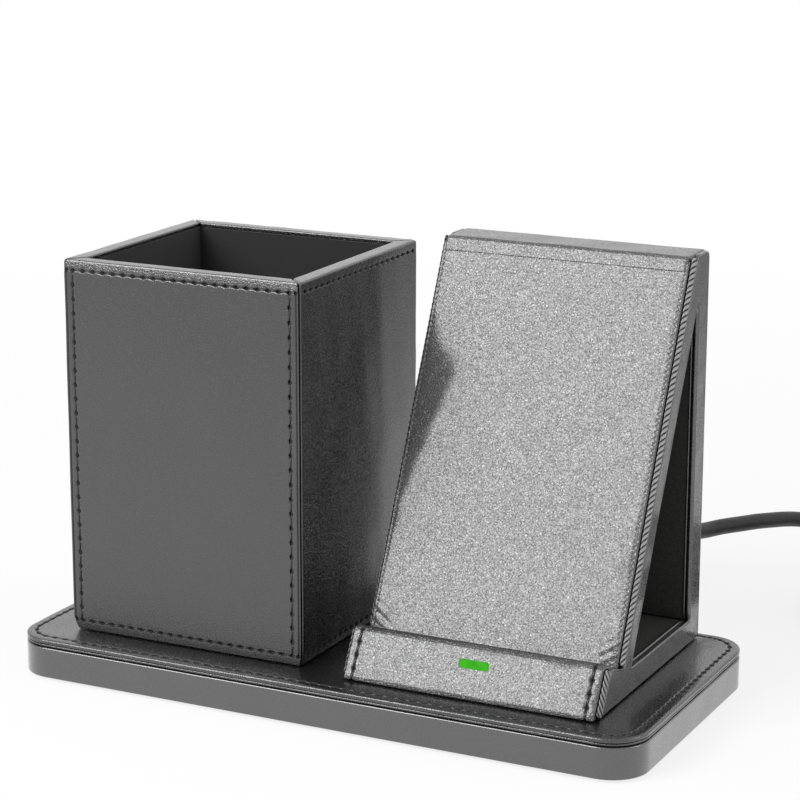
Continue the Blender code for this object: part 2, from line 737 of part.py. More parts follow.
# Lead from the socket down the back board, along the floor and up to the circuit board
lead_y = (back_board_y + back_cover_y - CLEARANCE) / 2
lead_z = base_top + LEAD_RISE + LEAD_DIAMETER / 2
lead_inward = circuit_far + CLEARANCE + LEAD_DIAMETER / 2
circuit_foot = CIRCUIT_UP - CIRCUIT_HEIGHT / 2
lead_end_z = panel_low + circuit_foot * math.cos(panel_angle)


def rounded_corner(before, corner, after, steps=5):
    """Points along a quadratic bend that starts and ends one bend length from the corner."""
    corner = Vector(corner)
    start = corner + (Vector(before) - corner).normalized() * LEAD_BEND
    end = corner + (Vector(after) - corner).normalized() * LEAD_BEND
    shares = [step / steps for step in range(steps + 1)]
    return [start * (1 - s) ** 2 + corner * 2 * s * (1 - s) + end * s ** 2 for s in shares]


lead_top = (socket_x, lead_y, socket_z - SOCKET_HEIGHT / 2 - CLEARANCE)
lead_low_back = (socket_x, lead_y, lead_z)
lead_low_front = (socket_x, on_panel(lead_z, lead_inward), lead_z)
lead_end = (socket_x, on_panel(lead_end_z, lead_inward), lead_end_z)
tube(
    "inner_lead",
    [lead_top, *rounded_corner(lead_top, lead_low_back, lead_low_front),
     *rounded_corner(lead_low_back, lead_low_front, lead_end), lead_end],
    LEAD_DIAMETER, CORD_JACKET, 1,
)
channel = LEAD_CHANNEL / 2
cut(back_board, block(
    "lead_back_channel",
    (socket_x - channel, back_board_y - OVERRUN, lead_z - channel),
    (socket_x + channel, back_cover_y + OVERRUN, socket_z),
))
cut(stand_floor, block(
    "lead_floor_channel",
    (socket_x - channel, core_back - OVERRUN, standing - OVERRUN),
    (socket_x + channel, back_board_y + OVERRUN, lead_z + channel),
), block(
    "lead_floor_riser",
    (socket_x - channel, on_panel(lead_z, lead_inward) - channel, standing),
    (socket_x + channel, on_panel(floor_high, lead_inward) + LEAD_BEND, floor_high + OVERRUN),
))
cut(panel_board, block(
    "lead_panel_channel",
    (socket_x - stand_x - channel, -OVERRUN, -lead_inward - channel),
    (socket_x - stand_x + channel, POCKET_LOW + OVERRUN, -lead_inward + channel),
    matrix=on_slope,
))

# Screws from under the base, with their holes
screw_low = board_low
screw_profile = [
    (0, SCREW_LENGTH), (SCREW_TIP_DIAMETER / 2, SCREW_LENGTH),
    (SCREW_DIAMETER / 2, SCREW_LENGTH - SCREW_TIP), (SCREW_DIAMETER / 2, SCREW_HEAD_HEIGHT),
    (SCREW_HEAD / 2, 0), (0, 0),
]
hole = SCREW_DIAMETER / 2 + CLEARANCE
head = SCREW_HEAD / 2 + CLEARANCE
hole_profile = [
    (0, SCREW_LENGTH + CLEARANCE), (hole, SCREW_LENGTH + CLEARANCE),
    (hole, SCREW_HEAD_HEIGHT), (head, 0), (head, -CLEARANCE), (0, -CLEARANCE),
]
box_screw_out = inner_width / 2 - BOX_SCREW_IN
stand_screw_in = CLEARANCE + STAND_SCREW_IN
for name, x, y, floor in (
    ("box_screw_left", box_x - box_screw_out, box_y, box_floor),
    ("box_screw_right", box_x + box_screw_out, box_y, box_floor),
    ("stand_screw_front", stand_x, core_back + stand_screw_in, stand_floor),
    ("stand_screw_back", stand_x, back_board_y - stand_screw_in, stand_floor),
):
    at = Matrix.Translation((x, y, screw_low))
    turned(name, screw_profile, SCREW_SIDES, STEEL, at)
    hole_cutter = turned(f"{name}_hole", hole_profile, SCREW_SIDES, None, at)
    for piece in (base_board, base_top_cover, floor):
        cut(piece, hole_cutter)
round_edges(base_top_cover, BASE_COVER_BEAD, 2, 60)


# Cable: the plug in the socket, the free run, the coil and the far plug
def along(point, direction):
    """A frame at a point whose Z runs along that direction, with X level."""
    z = Vector(direction).normalized()
    x = Vector((0, 0, 1)).cross(z).normalized()
    y = z.cross(x)
    axes = Matrix((x, y, z)).transposed().to_4x4()
    return Matrix.Translation(point) @ axes


plug_start = Vector((socket_x, stand_back + CLEARANCE, socket_z))
plug_frame = along(plug_start, (0, 1, 0))
round_edges(block(
    "stand_plug_tongue",
    (-TONGUE_WIDTH / 2, -TONGUE_HEIGHT / 2, -TONGUE_LENGTH - CLEARANCE),
    (TONGUE_WIDTH / 2, TONGUE_HEIGHT / 2, -CLEARANCE), STEEL, plug_frame,
))
round_edges(block(
    "stand_plug_body", (-PLUG_WIDTH / 2, -PLUG_HEIGHT / 2, 0),
    (PLUG_WIDTH / 2, PLUG_HEIGHT / 2, PLUG_LENGTH), BLACK_PLASTIC, plug_frame,
), PLUG_ROUNDING)
frustum(
    "stand_plug_relief", RELIEF_DIAMETER, RELIEF_END_DIAMETER, RELIEF_LENGTH, RELIEF_SIDES,
    BLACK_PLASTIC, plug_frame @ Matrix.Translation((0, 0, PLUG_LENGTH + CLEARANCE)),
)


def coil_line():
    """The middle line of the coil: in along the table, and out again on top of itself."""
    turns = COIL_TURN / 360
    inner = COIL_RADIUS - COIL_PITCH * turns / 2
    low = CORD_DIAMETER / 2 + COIL_OFF_TABLE
    points = []
    steps = round(turns * COIL_POINTS_PER_LOOP)
    for step in range(steps + 1):
        past = turns * (step / steps - 0.5)       # turns past the reversal
        radius = inner + COIL_PITCH * abs(past)
        climb = min(max(past * 2 + 0.5, 0), 1)
        angle = math.radians(COIL_START - COIL_TURN * step / steps)
        points.append(Vector((
            COIL_CENTRE[0] + radius * math.cos(angle),
            COIL_CENTRE[1] + radius * math.sin(angle),
            low + COIL_LAYER * climb * climb * (3 - 2 * climb),
        )))
    return points


coil = coil_line()
start_way = (coil[1] - coil[0]).normalized()
end_way = (coil[-1] - coil[-2]).normalized()
end_way.z = 0
end_way.normalize()
coil_start = coil[0] - start_way * CORD_DIAMETER
far_plug_z = FAR_PLUG_HEIGHT / 2 + COIL_OFF_TABLE
tail_drop = coil[-1].z - far_plug_z
tail = []
for share in (0.2, 0.4, 0.6, 0.8, 1.0):
    fall = share * share * (3 - 2 * share)
    tail.append(coil[-1] + end_way * TAIL_LENGTH * share - Vector((0, 0, tail_drop * fall)))
tail_end = tail[-1] + end_way * CORD_DIAMETER
coil_points = [coil_start, *coil, *tail, tail_end]
tube("cable_coil", coil_points, CORD_DIAMETER, CORD_JACKET, 1)


def smooth(knots, spacing):
    """Evenly spaced points on a Catmull-Rom curve, from the second knot to the last but one."""
    fine = []
    for a, b, c, d in zip(knots, knots[1:], knots[2:], knots[3:]):
        for step in range(16):
            t = step / 16
            fine.append(0.5 * (2 * b + (c - a) * t + (2 * a - 5 * b + 4 * c - d) * t ** 2
                               + (3 * b - a - 3 * c + d) * t ** 3))
    fine = np.array([*fine, knots[-2]])
    gone = np.concatenate([[0], np.cumsum(np.linalg.norm(np.diff(fine, axis=0), axis=1))])
    at = np.linspace(0, gone[-1], round(gone[-1] / spacing) + 1)
    return [Vector([float(np.interp(s, gone, fine[:, k])) for k in range(3)]) for s in at]


relief_end = plug_start + Vector((0, PLUG_LENGTH + RELIEF_LENGTH + 2 * CLEARANCE, 0))
run_end = coil_start - start_way * CLEARANCE
knots = [relief_end, relief_end + Vector((0, CORD_DIAMETER, 0)), *map(Vector, CORD_ROUTE),
         run_end - start_way * CORD_DIAMETER, run_end]
run = [relief_end, *smooth(knots, CORD_POINT_SPACING), run_end]
tube("cable_run", run, CORD_DIAMETER, CORD_JACKET, 2)

far_frame = along(tail_end + end_way * CLEARANCE, end_way)
frustum("far_plug_relief", RELIEF_END_DIAMETER, RELIEF_DIAMETER, RELIEF_LENGTH, RELIEF_SIDES,
        BLACK_PLASTIC, far_frame)
far_body_low = RELIEF_LENGTH + CLEARANCE
far_body_high = far_body_low + FAR_PLUG_LENGTH
round_edges(block(
    "far_plug_body", (-FAR_PLUG_WIDTH / 2, -FAR_PLUG_HEIGHT / 2, far_body_low),
    (FAR_PLUG_WIDTH / 2, FAR_PLUG_HEIGHT / 2, far_body_high), BLACK_PLASTIC, far_frame,
), PLUG_ROUNDING)
far_shell_low = far_body_high + CLEARANCE
far_shell_high = far_shell_low + FAR_SHELL_LENGTH
far_shell = block(
    "far_plug_shell", (-FAR_SHELL_WIDTH / 2, -FAR_SHELL_HEIGHT / 2, far_shell_low),
    (FAR_SHELL_WIDTH / 2, FAR_SHELL_HEIGHT / 2, far_shell_high), STEEL, far_frame,
)
hollow = FAR_SHELL_WIDTH / 2 - FAR_SHELL_WALL, FAR_SHELL_HEIGHT / 2 - FAR_SHELL_WALL
cut(far_shell, block(
    "far_shell_hollow", (-hollow[0], -hollow[1], far_shell_low - OVERRUN),
    (hollow[0], hollow[1], far_shell_high + OVERRUN), matrix=far_frame,
))
block(
    "far_plug_contacts",
    (-FAR_TONGUE_WIDTH / 2, -hollow[1] + CLEARANCE, far_shell_low),
    (FAR_TONGUE_WIDTH / 2, -hollow[1] + CLEARANCE + FAR_TONGUE_THICK,
     far_shell_high - FAR_SHELL_WALL),
    BLACK_PLASTIC, far_frame,
)


def length_of(points):
    return sum((b - a).length for a, b in zip(points, points[1:]))


def least_gap(points):
    """The least gap between parts of the coil that lie over two diameters apart along it."""
    line = np.array(points)
    gone = np.concatenate([[0], np.cumsum(np.linalg.norm(np.diff(line, axis=0), axis=1))])
    at = np.arange(0, gone[-1], CORD_DIAMETER / 4)
    fine = np.stack([np.interp(at, gone, line[:, k]) for k in range(3)], axis=1)
    away = np.linalg.norm(fine[:, None] - fine[None], axis=2)
    apart = np.abs(at[:, None] - at[None]) > 2.5 * CORD_DIAMETER
    return float(away[apart].min()) - CORD_DIAMETER


print(f"cord {length_of(run):.3f} m free and {length_of(coil_points):.3f} m in the coil, "
      f"least gap in the coil {least_gap(coil_points) / MM:.2f} mm")
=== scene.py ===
# %% [markdown]
# # A wireless charger pen holder
#
# The real thing is fibreboard glued inside black leatherette: a square pen box and a leaning
# charging stand side by side on a rounded base. So this lesson asks one question: what makes a
# black box look like stitched leather? The answer is in its edges. Leather is folded, so no
# edge is sharp; it is padded, so a seam sinks in; and it is sewn, so the thread casts its own
# small shadows.
#
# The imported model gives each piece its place. Blender works in metres, but leather is cut in
# millimetres, so sizes here are in millimetres until a mesh is made.

# %% The frame and the units
import json
import math

import bpy
import numpy as np
from mathutils import Matrix, Vector


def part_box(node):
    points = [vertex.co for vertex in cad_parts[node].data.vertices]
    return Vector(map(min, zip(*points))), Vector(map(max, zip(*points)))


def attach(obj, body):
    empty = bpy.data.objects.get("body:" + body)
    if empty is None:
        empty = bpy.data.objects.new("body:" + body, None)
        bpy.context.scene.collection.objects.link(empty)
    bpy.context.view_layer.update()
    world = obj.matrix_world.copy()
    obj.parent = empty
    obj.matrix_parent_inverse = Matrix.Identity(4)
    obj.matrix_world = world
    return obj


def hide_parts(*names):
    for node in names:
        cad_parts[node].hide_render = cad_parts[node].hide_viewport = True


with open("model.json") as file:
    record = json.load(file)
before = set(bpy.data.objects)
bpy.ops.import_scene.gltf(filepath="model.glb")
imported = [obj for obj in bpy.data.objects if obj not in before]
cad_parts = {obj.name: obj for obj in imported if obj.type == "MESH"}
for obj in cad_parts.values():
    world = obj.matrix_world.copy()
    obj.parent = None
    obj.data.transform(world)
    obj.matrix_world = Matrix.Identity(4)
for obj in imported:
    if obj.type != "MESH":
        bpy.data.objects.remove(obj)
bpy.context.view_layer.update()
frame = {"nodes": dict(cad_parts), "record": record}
nodes = frame["nodes"]
MM = 0.001


def box(node):
    """A node's lowest and highest corners, in mm."""
    return [Vector(corner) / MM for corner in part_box(node)]


def placed(name, data):
    """An object at the origin, in the scene."""
    made = bpy.data.objects.new(name, data)
    bpy.context.scene.collection.objects.link(made)
    return made


# %% [markdown]
# ## The camera
#
# A product photographer stands back with a long lens, which keeps upright edges nearly
# parallel. The place, the lens and the small roll come from fitting the corners of the box,
# the base and the stand to where they lie in the picture.

# %% The camera
CAMERA_PLACE = Vector((337.2, -666.1, 273.2)) * MM
CAMERA_TARGET = Vector((-38.1, 89.8, 61.7)) * MM
CAMERA_ROLL = math.radians(0.10)

camera_data = bpy.data.cameras.new("product_camera")
camera_data.lens, camera_data.sensor_width = 118.5, 36.0        # mm
camera_data.clip_start, camera_data.clip_end = 0.05, 30.0       # m
camera = placed("product_camera", camera_data)
look = (CAMERA_TARGET - CAMERA_PLACE).to_track_quat("-Z", "Y").to_matrix().to_4x4()
camera.matrix_world = Matrix.Translation(CAMERA_PLACE) @ look @ Matrix.Rotation(CAMERA_ROLL, 4, "Z")
bpy.context.scene.camera = camera
print("camera is", round((CAMERA_TARGET - CAMERA_PLACE).length, 3), "m from its target")

# %% [markdown]
# ## The cable's way
#
# A charging cable of one metre leaves the socket in the stand's back, drops to the table and
# lies in a coil beside the stand, as it would be put away. Its line comes first, from the same
# points as the solid model, so that the cable fills the room kept for it. The coil is a spiral
# in two layers: the radius shrinks by one pitch a turn, then grows again while the cord lies
# one diameter higher.

# %% The cable's middle line
CORD_THICK = 5.0
RELIEF_END = np.array((68.0, 69.9, 34.5))
CORD_ROUTE = [(69.6, 88.0, 31.9), (72.1, 98.0, 30.8), (75.2, 109.0, 29.3), (78.3, 120.0, 27.7),
              (83.6, 138.0, 24.2), (88.6, 150.0, 19.9), (97.0, 160.0, 13.4), (108.5, 165.6, 7.0)]
COIL_CENTRE = np.array((136.5, 129.6))
COIL_RADIUS, COIL_PITCH, COIL_LAYER = 37, 5.8, 5.7
COIL_START, COIL_TURN = 88.0, 1528.0                            # degrees
COIL_LOW = CORD_THICK / 2 + 0.1
TAIL_LENGTH, FAR_PLUG_MIDDLE, TOUCHING = 24, 4.1, 0.3


def smoothstep(x):
    """0 up to x = 0, 1 from x = 1, and 3x^2 - 2x^3 between them."""
    x = np.clip(x, 0, 1)
    return x * x * (3 - 2 * x)


def spiral(points_per_turn):
    """The coil's line: radius = inner + pitch * |turns from the reversal|, and a layer more past it."""
    turns = COIL_TURN / 360
    past = np.linspace(-turns / 2, turns / 2, round(turns * points_per_turn) + 1)
    radius = COIL_RADIUS - COIL_PITCH * (turns / 2 - np.abs(past))
    angle = np.radians(COIL_START - 360 * (past + turns / 2))
    return np.stack([COIL_CENTRE[0] + radius * np.cos(angle), COIL_CENTRE[1] + radius * np.sin(angle),
                     COIL_LOW + COIL_LAYER * smoothstep(2 * past + 0.5)], axis=1)


def through(knots, steps):
    """A Catmull-Rom curve from the second knot to the last but one, in steps between two knots."""
    t = np.linspace(0, 1, steps, endpoint=False)[None, :, None]
    a, b, c, d = (knots[k:len(knots) - 3 + k, None] for k in range(4))
    curve = 0.5 * (2 * b + (c - a) * t + (2 * a - 5 * b + 4 * c - d) * t ** 2
                   + (3 * b - a - 3 * c + d) * t ** 3)
    return np.concatenate([curve.reshape(-1, 3), knots[-2:-1]])


def unit(v):
    """Vectors of length 1: v / |v|."""
    return v / np.linalg.norm(v, axis=-1, keepdims=True)


def running(line):
    """The length along a line up to each of its points."""
    return np.concatenate([[0], np.cumsum(np.linalg.norm(np.diff(line, axis=0), axis=1))])


coil = spiral(24)
start_way, end_way = unit(coil[1] - coil[0]), unit((coil[-1] - coil[-2]) * (1, 1, 0))
shares = np.linspace(0.2, 1, 5)[:, None]
tail = (coil[-1] + end_way * TAIL_LENGTH * shares
        - np.array((0, 0, 1)) * (coil[-1, 2] - FAR_PLUG_MIDDLE) * smoothstep(shares))
tail_end = tail[-1] + end_way * CORD_THICK
coil_start = coil[0] - start_way * CORD_THICK
knots = np.array([RELIEF_END, RELIEF_END + (0, CORD_THICK, 0), *CORD_ROUTE,
                  coil_start - start_way * (CORD_THICK + TOUCHING), coil_start])
cord_line = np.concatenate([[RELIEF_END], through(knots, 3), [coil_start], coil, tail, [tail_end]])
cord_reach = running(cord_line)
print(f"the cable is {cord_reach[-1] * MM:.3f} m long, over {len(cord_line)} points")

# %% [markdown]
# ## Colours and nodes
#
# Colours are written as on a web page, in sRGB. Blender's shaders add up light, so they want
# linear values, and one function converts them. Another adds a shader node and links it.

# %% Helpers for materials


def linear(hex_colour):
    """A web colour as linear RGBA: c / 12.92 below 0.04045, and ((c + 0.055) / 1.055) ^ 2.4 above."""
    c = np.array([int(hex_colour[i:i + 2], 16) for i in (1, 3, 5)]) / 255
    c = np.where(c <= 0.04045, c / 12.92, ((c + 0.055) / 1.055) ** 2.4)
    return (*c.tolist(), 1.0)


def wire(tree, node, inputs):
    """Feeds a node's inputs: a plain value, a socket, or a node, which gives its first output."""
    for name, value in inputs.items():
        if isinstance(value, bpy.types.Node):
            value = next(output for output in value.outputs if output.enabled)
        if isinstance(value, bpy.types.NodeSocket):
            tree.links.new(value, node.inputs[name])
        else:
            node.inputs[name].default_value = value


def add(tree, kind, inputs=None, **settings):
    """A new node, with its settings and its inputs."""
    node = tree.nodes.new("ShaderNode" + kind)
    for name, value in settings.items():
        setattr(node, name, value)
    wire(tree, node, inputs or {})
    return node


def new_material(name):
    """A material with a Principled shader, its tree, its shader and its Object coordinates."""
    made = bpy.data.materials.new(name)
    made.use_nodes = True
    tree = made.node_tree
    return made, tree, tree.nodes["Principled BSDF"], add(tree, "TexCoord").outputs["Object"]


def between(tree, value, low, high, dark, light):
    """A colour from dark to light as a value goes from low to high. Mix has its colours at 6 and 7."""
    share = add(tree, "MapRange", {"Value": value, "From Min": low, "From Max": high})
    return add(tree, "Mix", {0: share, 6: linear(dark), 7: linear(light)}, data_type="RGBA")


# %% [markdown]
# ## Leatherette
#
# Leatherette is cloth coated with soft black polyurethane. A roller presses the grain into it:
# small flat cells with creases between them, about a millimetre across. The skin is near
# black and satin, so it shows mostly what it mirrors, and the grain breaks the mirror image
# up into sparkle. The cells are a Voronoi pattern, read as the distance to the cell's edge,
# with a finer noise for the pores.
#
# The lacquer on top is thin, and thinner in the pores, so the shine is patchy. A seam is darkened by
# painted shade: each sewn piece carries how deep it is pressed, in mm, as an attribute, and with that
# depth the lacquer fades and the skin turns matt, so the seam looks dark.

# %% Leatherette
GRAIN_CELL = 0.80                   # from crease to crease
BEND, BEND_REACH = 1.7, 0.45        # how the creases wander
CLOUD = 24.0                        # slow changes of tone across a hide
SEAM_SHADE_FROM, SEAM_SHADE_TO = 0.03, 0.15     # how deep a seam is where the lacquer fades


def leatherette(name, dark, light, roughness, grain_depth, level=0.75, coat=0.6, pore=0.34,
                patchy=0.3):
    """Black polyurethane leatherette: pressed cells and pores as bump, slow clouds of tone."""
    made, tree, shader, place = new_material(name)
    bend = add(tree, "TexNoise", {"Vector": place, "Scale": 1 / (BEND * MM), "Detail": 2.0})
    bent = add(tree, "VectorMath", {0: bend.outputs["Color"], 1: (BEND_REACH * MM,) * 3, 2: place},
               operation="MULTIPLY_ADD")
    cells = add(tree, "TexVoronoi", {"Vector": bent, "Scale": 1 / (GRAIN_CELL * MM)},
                feature="DISTANCE_TO_EDGE")
    raised = add(tree, "MapRange", {"Value": cells, "From Max": 0.30})
    pores = add(tree, "TexNoise", {"Vector": place, "Scale": 1 / (pore * MM), "Detail": 2.0})
    height = add(tree, "Math", {0: pores, 1: 0.9, 2: raised}, operation="MULTIPLY_ADD")
    clouds = add(tree, "TexNoise", {"Vector": place, "Scale": 1 / (CLOUD * MM), "Detail": 3.0})
    tone = add(tree, "Math", {0: raised, 1: 0.35, 2: clouds}, operation="MULTIPLY_ADD")
    rough = add(tree, "MapRange", {"Value": height, "From Max": 1.6, "To Min": roughness + 0.10,
                                   "To Max": roughness - 0.03})
    deep = add(tree, "Attribute", attribute_name="pressed").outputs["Fac"]
    # Painted shade: the deeper a seam, the less lacquer and the matter the skin, so the seam reads dark.
    seam_shade = add(tree, "MapRange", {"Value": deep, "From Min": SEAM_SHADE_FROM, "From Max": SEAM_SHADE_TO})
    kept = add(tree, "MapRange", {"Value": seam_shade, "To Min": 1.0, "To Max": 0.0})
    lacquer = add(tree, "MapRange", {"Value": pores, "From Min": 0.35, "From Max": 0.65,
                                     "To Min": coat * (1 - patchy),
                                     "To Max": min(coat * (1 + patchy), 1.0)})
    wire(tree, shader, {
        "Base Color": between(tree, tone, 0.35, 0.95, dark, light),
        "Roughness": add(tree, "Math", {0: seam_shade, 1: 0.75, 2: rough}, operation="MULTIPLY_ADD"),
        "Coat Weight": add(tree, "Math", {0: lacquer, 1: kept}, operation="MULTIPLY"),
        "Normal": add(tree, "Bump", {"Height": height, "Strength": 1.0,
                                     "Distance": grain_depth * MM}),
        "Specular IOR Level": level, "Coat Roughness": 0.14})
    return made


black_leatherette = leatherette("black_grained_leatherette", "#0f0f10", "#171718", 0.25, 0.045)
lip_leatherette = leatherette("black_coarse_leatherette", "#131314", "#1c1c1d", 0.36, 0.130,
                              level=0.95, coat=0.68, pore=0.55, patchy=0.55)
smooth_leatherette = leatherette("black_smooth_leatherette", "#171718", "#202021", 0.28, 0.045,
                                 level=0.9, coat=0.8, pore=0.6, patchy=0.5)
band_leatherette = leatherette("black_glazed_leatherette", "#1f1f21", "#29292b", 0.27, 0.010,
                               level=1.0, coat=1.0)

# %% [markdown]
# ## The other finishes
#
# Thread is waxed polyester: dark, with a dull shine and a twist too fine to see from here.
# The linings are a short-napped cloth, which shines only at a glancing look, so it has sheen.
# The boards are fibreboard. Those whose edges come close to a seam are stained black, so that
# no light line shows through it. Rubber and ABS are moulded, so they are dull and even; the
# cable's PVC is extruded, and smoother. Nickel and enamelled copper are drawn metal.

# %% The other finishes


def speckled(name, dark, light, size, roughness, bump, **sockets):
    """One plain stuff with a fine noise in its tone and gloss, and that noise as bump. Sizes in mm."""
    made, tree, shader, place = new_material(name)
    noise = add(tree, "TexNoise", {"Vector": place, "Scale": 1 / (size * MM), "Detail": 4.0})
    wire(tree, shader, {
        "Base Color": between(tree, noise, 0.3, 0.7, dark, light),
        "Roughness": add(tree, "MapRange", {"Value": noise, "From Min": 0.3, "From Max": 0.7,
                                            "To Min": roughness + 0.05, "To Max": roughness - 0.05}),
        "Normal": add(tree, "Bump", {"Height": noise, "Strength": 1.0, "Distance": bump * MM}),
        **{socket.replace("_", " "): value for socket, value in sockets.items()}})
    return made


waxed_thread = speckled("waxed_polyester_thread", "#0d0d0e", "#1a1a1b", 0.25, 0.42, 0.03)
# Painted highlight: the panel's edge thread is grey, lighter than the black thread of the other seams,
# for the light its loops catch.
painted_highlight_thread = speckled("edge_thread_painted_highlight", "#565658", "#7a7a7b", 0.3, 0.30, 0.04)
stained_board = speckled("fibreboard_stained_black", "#141312", "#1d1b19", 0.6, 0.85, 0.05)
suede_lining = speckled("brushed_microfibre_lining", "#2b2b2a", "#393937", 0.8, 0.85, 0.08)
FINISHES = {
    "black_leatherette": black_leatherette,
    "smooth_leatherette": smooth_leatherette,
    "lining_cloth": speckled("napped_lining_cloth", "#0c0c0d", "#18181a", 0.22, 0.88, 0.06,
                             Sheen_Weight=0.25, Sheen_Roughness=0.5),
    "fibreboard": speckled("raw_fibreboard", "#8a6a48", "#a58763", 0.6, 0.82, 0.05),
    "rubber": speckled("moulded_foot_rubber", "#101010", "#1b1b1b", 0.5, 0.72, 0.02),
    "black_plastic": speckled("moulded_black_abs", "#151516", "#1d1d1f", 0.18, 0.46, 0.012),
    "cord_jacket": speckled("extruded_pvc_jacket", "#0e0e0f", "#161617", 1.4, 0.46, 0.01,
                            Specular_IOR_Level=0.3),
    "steel": speckled("nickel_plated_steel", "#b9b9bd", "#d2d2d6", 0.3, 0.26, 0.004, Metallic=1.0),
    "copper_winding": speckled("enamelled_copper_wire", "#a8542a", "#c8743c", 0.4, 0.32, 0.02,
                               Metallic=1.0),
    "ferrite": speckled("pressed_ferrite", "#2b2b2e", "#3a3a3d", 0.5, 0.62, 0.02),
    "circuit_board": speckled("circuit_board_resin", "#0b3d1c", "#12552a", 0.9, 0.42, 0.01),
}
for row in frame["record"]["subparts"]:
    if row["material_slot"] in FINISHES:
        materials = nodes[row["node"]].data.materials
        materials.clear()
        materials.append(FINISHES[row["material_slot"]])
for finish, covered in (
        (stained_board, ("base_board", "stand_floor_board", "panel_board", "back_board", "lip_core",
                         "box_front_board", "box_right_board", "box_back_board", "box_left_board")),
        (suede_lining, ("panel_rear_cover", "back_inner_lining", "stand_floor_lining"))):
    for name in covered:
        nodes[name].data.materials[0] = finish
print("finishes:", len(bpy.data.materials))

# %% [markdown]
# ## Meshes from arrays of points
#
# Every leather piece is a loft: a cross-section repeated along a way, so its points form a
# grid, and each four neighbours make a face. Two caps close the ends. The signed volume of
# the result, a sum over its triangles, says whether its faces look out, and turns them round
# if they don't.

# %% Lofts


def piece(name, points, quads, caps, finish=None, slot="black_leatherette", replaces=(), sharp=55):
    """A smooth mesh from points in mm, riding on the one body, its faces turned outwards. Quads
    and caps are arrays of point numbers, and the volume is the sum of det(a, b, c) over a fan
    of triangles in each face."""
    mesh = bpy.data.meshes.new(name)
    volume = sum(np.linalg.det(points[faces[:, [0, k, k + 1]]]).sum()
                 for faces in (quads, caps) for k in range(1, faces.shape[1] - 1))
    turn = -1 if volume < 0 else 1
    mesh.from_pydata((points * MM).tolist(), [],
                     quads[:, ::turn].tolist() + caps[:, ::turn].tolist())
    mesh.shade_smooth()
    if sharp:
        mesh.set_sharp_from_angle(angle=math.radians(sharp))
    mesh.materials.append(finish or FINISHES[slot])
    made = placed(name, mesh)
    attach(made, "root")
    if replaces:
        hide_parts(*replaces)
    return made


def keep(made, name, values):
    """Keeps one number for each point of a mesh, for its material to read."""
    made.data.attributes.new(name, "FLOAT", "POINT").data.foreach_set("value", values.ravel())


def loft_faces(rings, around, closed=False):
    """Faces between closed rings of points: (i, j), (i, j+1), (i+1, j+1), (i+1, j), and two caps."""
    i, j = np.arange(rings if closed else rings - 1)[:, None], np.arange(around)[None, :]
    right, up = (j + 1) % around, (i + 1) % rings
    quads = np.stack([i * around + j, i * around + right, up * around + right, up * around + j], -1)
    caps = np.stack([np.arange(around)[::-1], np.arange(around) + (rings - 1) * around])
    return quads.reshape(-1, 4), caps[:0] if closed else caps


def loft(name, rings, finish=None, closed=False, **more):
    """A piece from rings of points, an array of (ring, point, xyz)."""
    quads, caps = loft_faces(rings.shape[0], rings.shape[1], closed)
    return piece(name, rings.reshape(-1, 3), quads, caps, finish, **more)


# %% [markdown]
# ## Folded edges
#
# A cross-section is written as its corners, each with how far the fold reaches. A quadratic
# curve rounds it: it starts and ends that far from the corner and is pulled towards it. The
# section's outward normals follow from the points.

# %% Cross-sections


def softened(corners, steps=6):
    """A line through (x, y, reach) corners, each rounded by (1-s)^2 start + 2s(1-s) corner + s^2 end."""
    points = np.array([c[:2] for c in corners], float)
    line = [points[0]]
    s = np.linspace(0, 1, steps + 1)[:, None]
    for before, corner, after, given in zip(points, points[1:], points[2:], corners[1:-1]):
        if len(given) == 2:
            line.append(corner)
            continue
        to_before, to_after = before - corner, after - corner
        start = corner + to_before * min(given[2] / np.linalg.norm(to_before), 0.5)
        end = corner + to_after * min(given[2] / np.linalg.norm(to_after), 0.5)
        line.extend((1 - s) ** 2 * start + 2 * s * (1 - s) * corner + s ** 2 * end)
    return np.array([*line, points[-1]])


def turned_left(way):
    """Unit normals on the left of a direction: a quarter turn, (-y, x)."""
    way = unit(way)
    return np.stack([-way[..., 1], way[..., 0]], axis=-1)


def left_normals(line):
    """Unit normals on the left of an open line."""
    return turned_left(np.gradient(line, running(line), axis=0))


# %% [markdown]
# ## Stitches
#
# A seam presses the padding down into a shallow trench, and each needle hole makes a dimple
# in it. Both are written as a depth over the leather's own coordinates: a, along the piece,
# and b, up its section. A bell curve of the distance to the seam gives the trench, and a
# narrower bell round the nearest hole gives the dimple.
#
# The grid of each piece gets six lines per stitch, so that a hole always falls on a line, and
# closer lines where the leather turns over an edge or sinks into a seam.

# %% Seams
STITCH, LINES_PER_STITCH = 3.5, 6
TRENCH, TRENCH_WIDTH = 0.20, 0.26
HOLE, HOLE_WIDTH = 0.95, 0.45
TOO_CLOSE = 0.07                    # to a line that stays
BESIDE_SEAM = np.array([0.1, 0.2, 0.32, 0.46, 0.64, 0.9])


def seam(start, end, stitch=STITCH):
    """Needle holes from one (a, b) point to another, at about one stitch length."""
    start, end = np.array(start, float), np.array(end, float)
    count = max(1, round(np.linalg.norm(end - start) / stitch))
    return start + (end - start) * np.linspace(0, 1, count + 1)[:, None]


def pressed(a, b, seams, trench, hole):
    """How deep the seams sink the leather: trench * exp(-(d/w)^2) + hole * exp(-(h/v)^2)."""
    line = np.full(np.broadcast(a, b).shape, 1000.0)
    nearest = line.copy()
    for holes in seams:
        start, way = holes[0], holes[-1] - holes[0]
        share = np.clip(((a - start[0]) * way[0] + (b - start[1]) * way[1]) / (way @ way), 0, 1)
        at = np.round(share * (len(holes) - 1)) / (len(holes) - 1)
        line, nearest = (
            np.minimum(least, np.hypot(a - start[0] - part * way[0], b - start[1] - part * way[1]))
            for least, part in ((line, share), (nearest, at)))
    return (trench * np.exp(-(line / TRENCH_WIDTH) ** 2)
            + hole * np.exp(-(nearest / HOLE_WIDTH) ** 2))


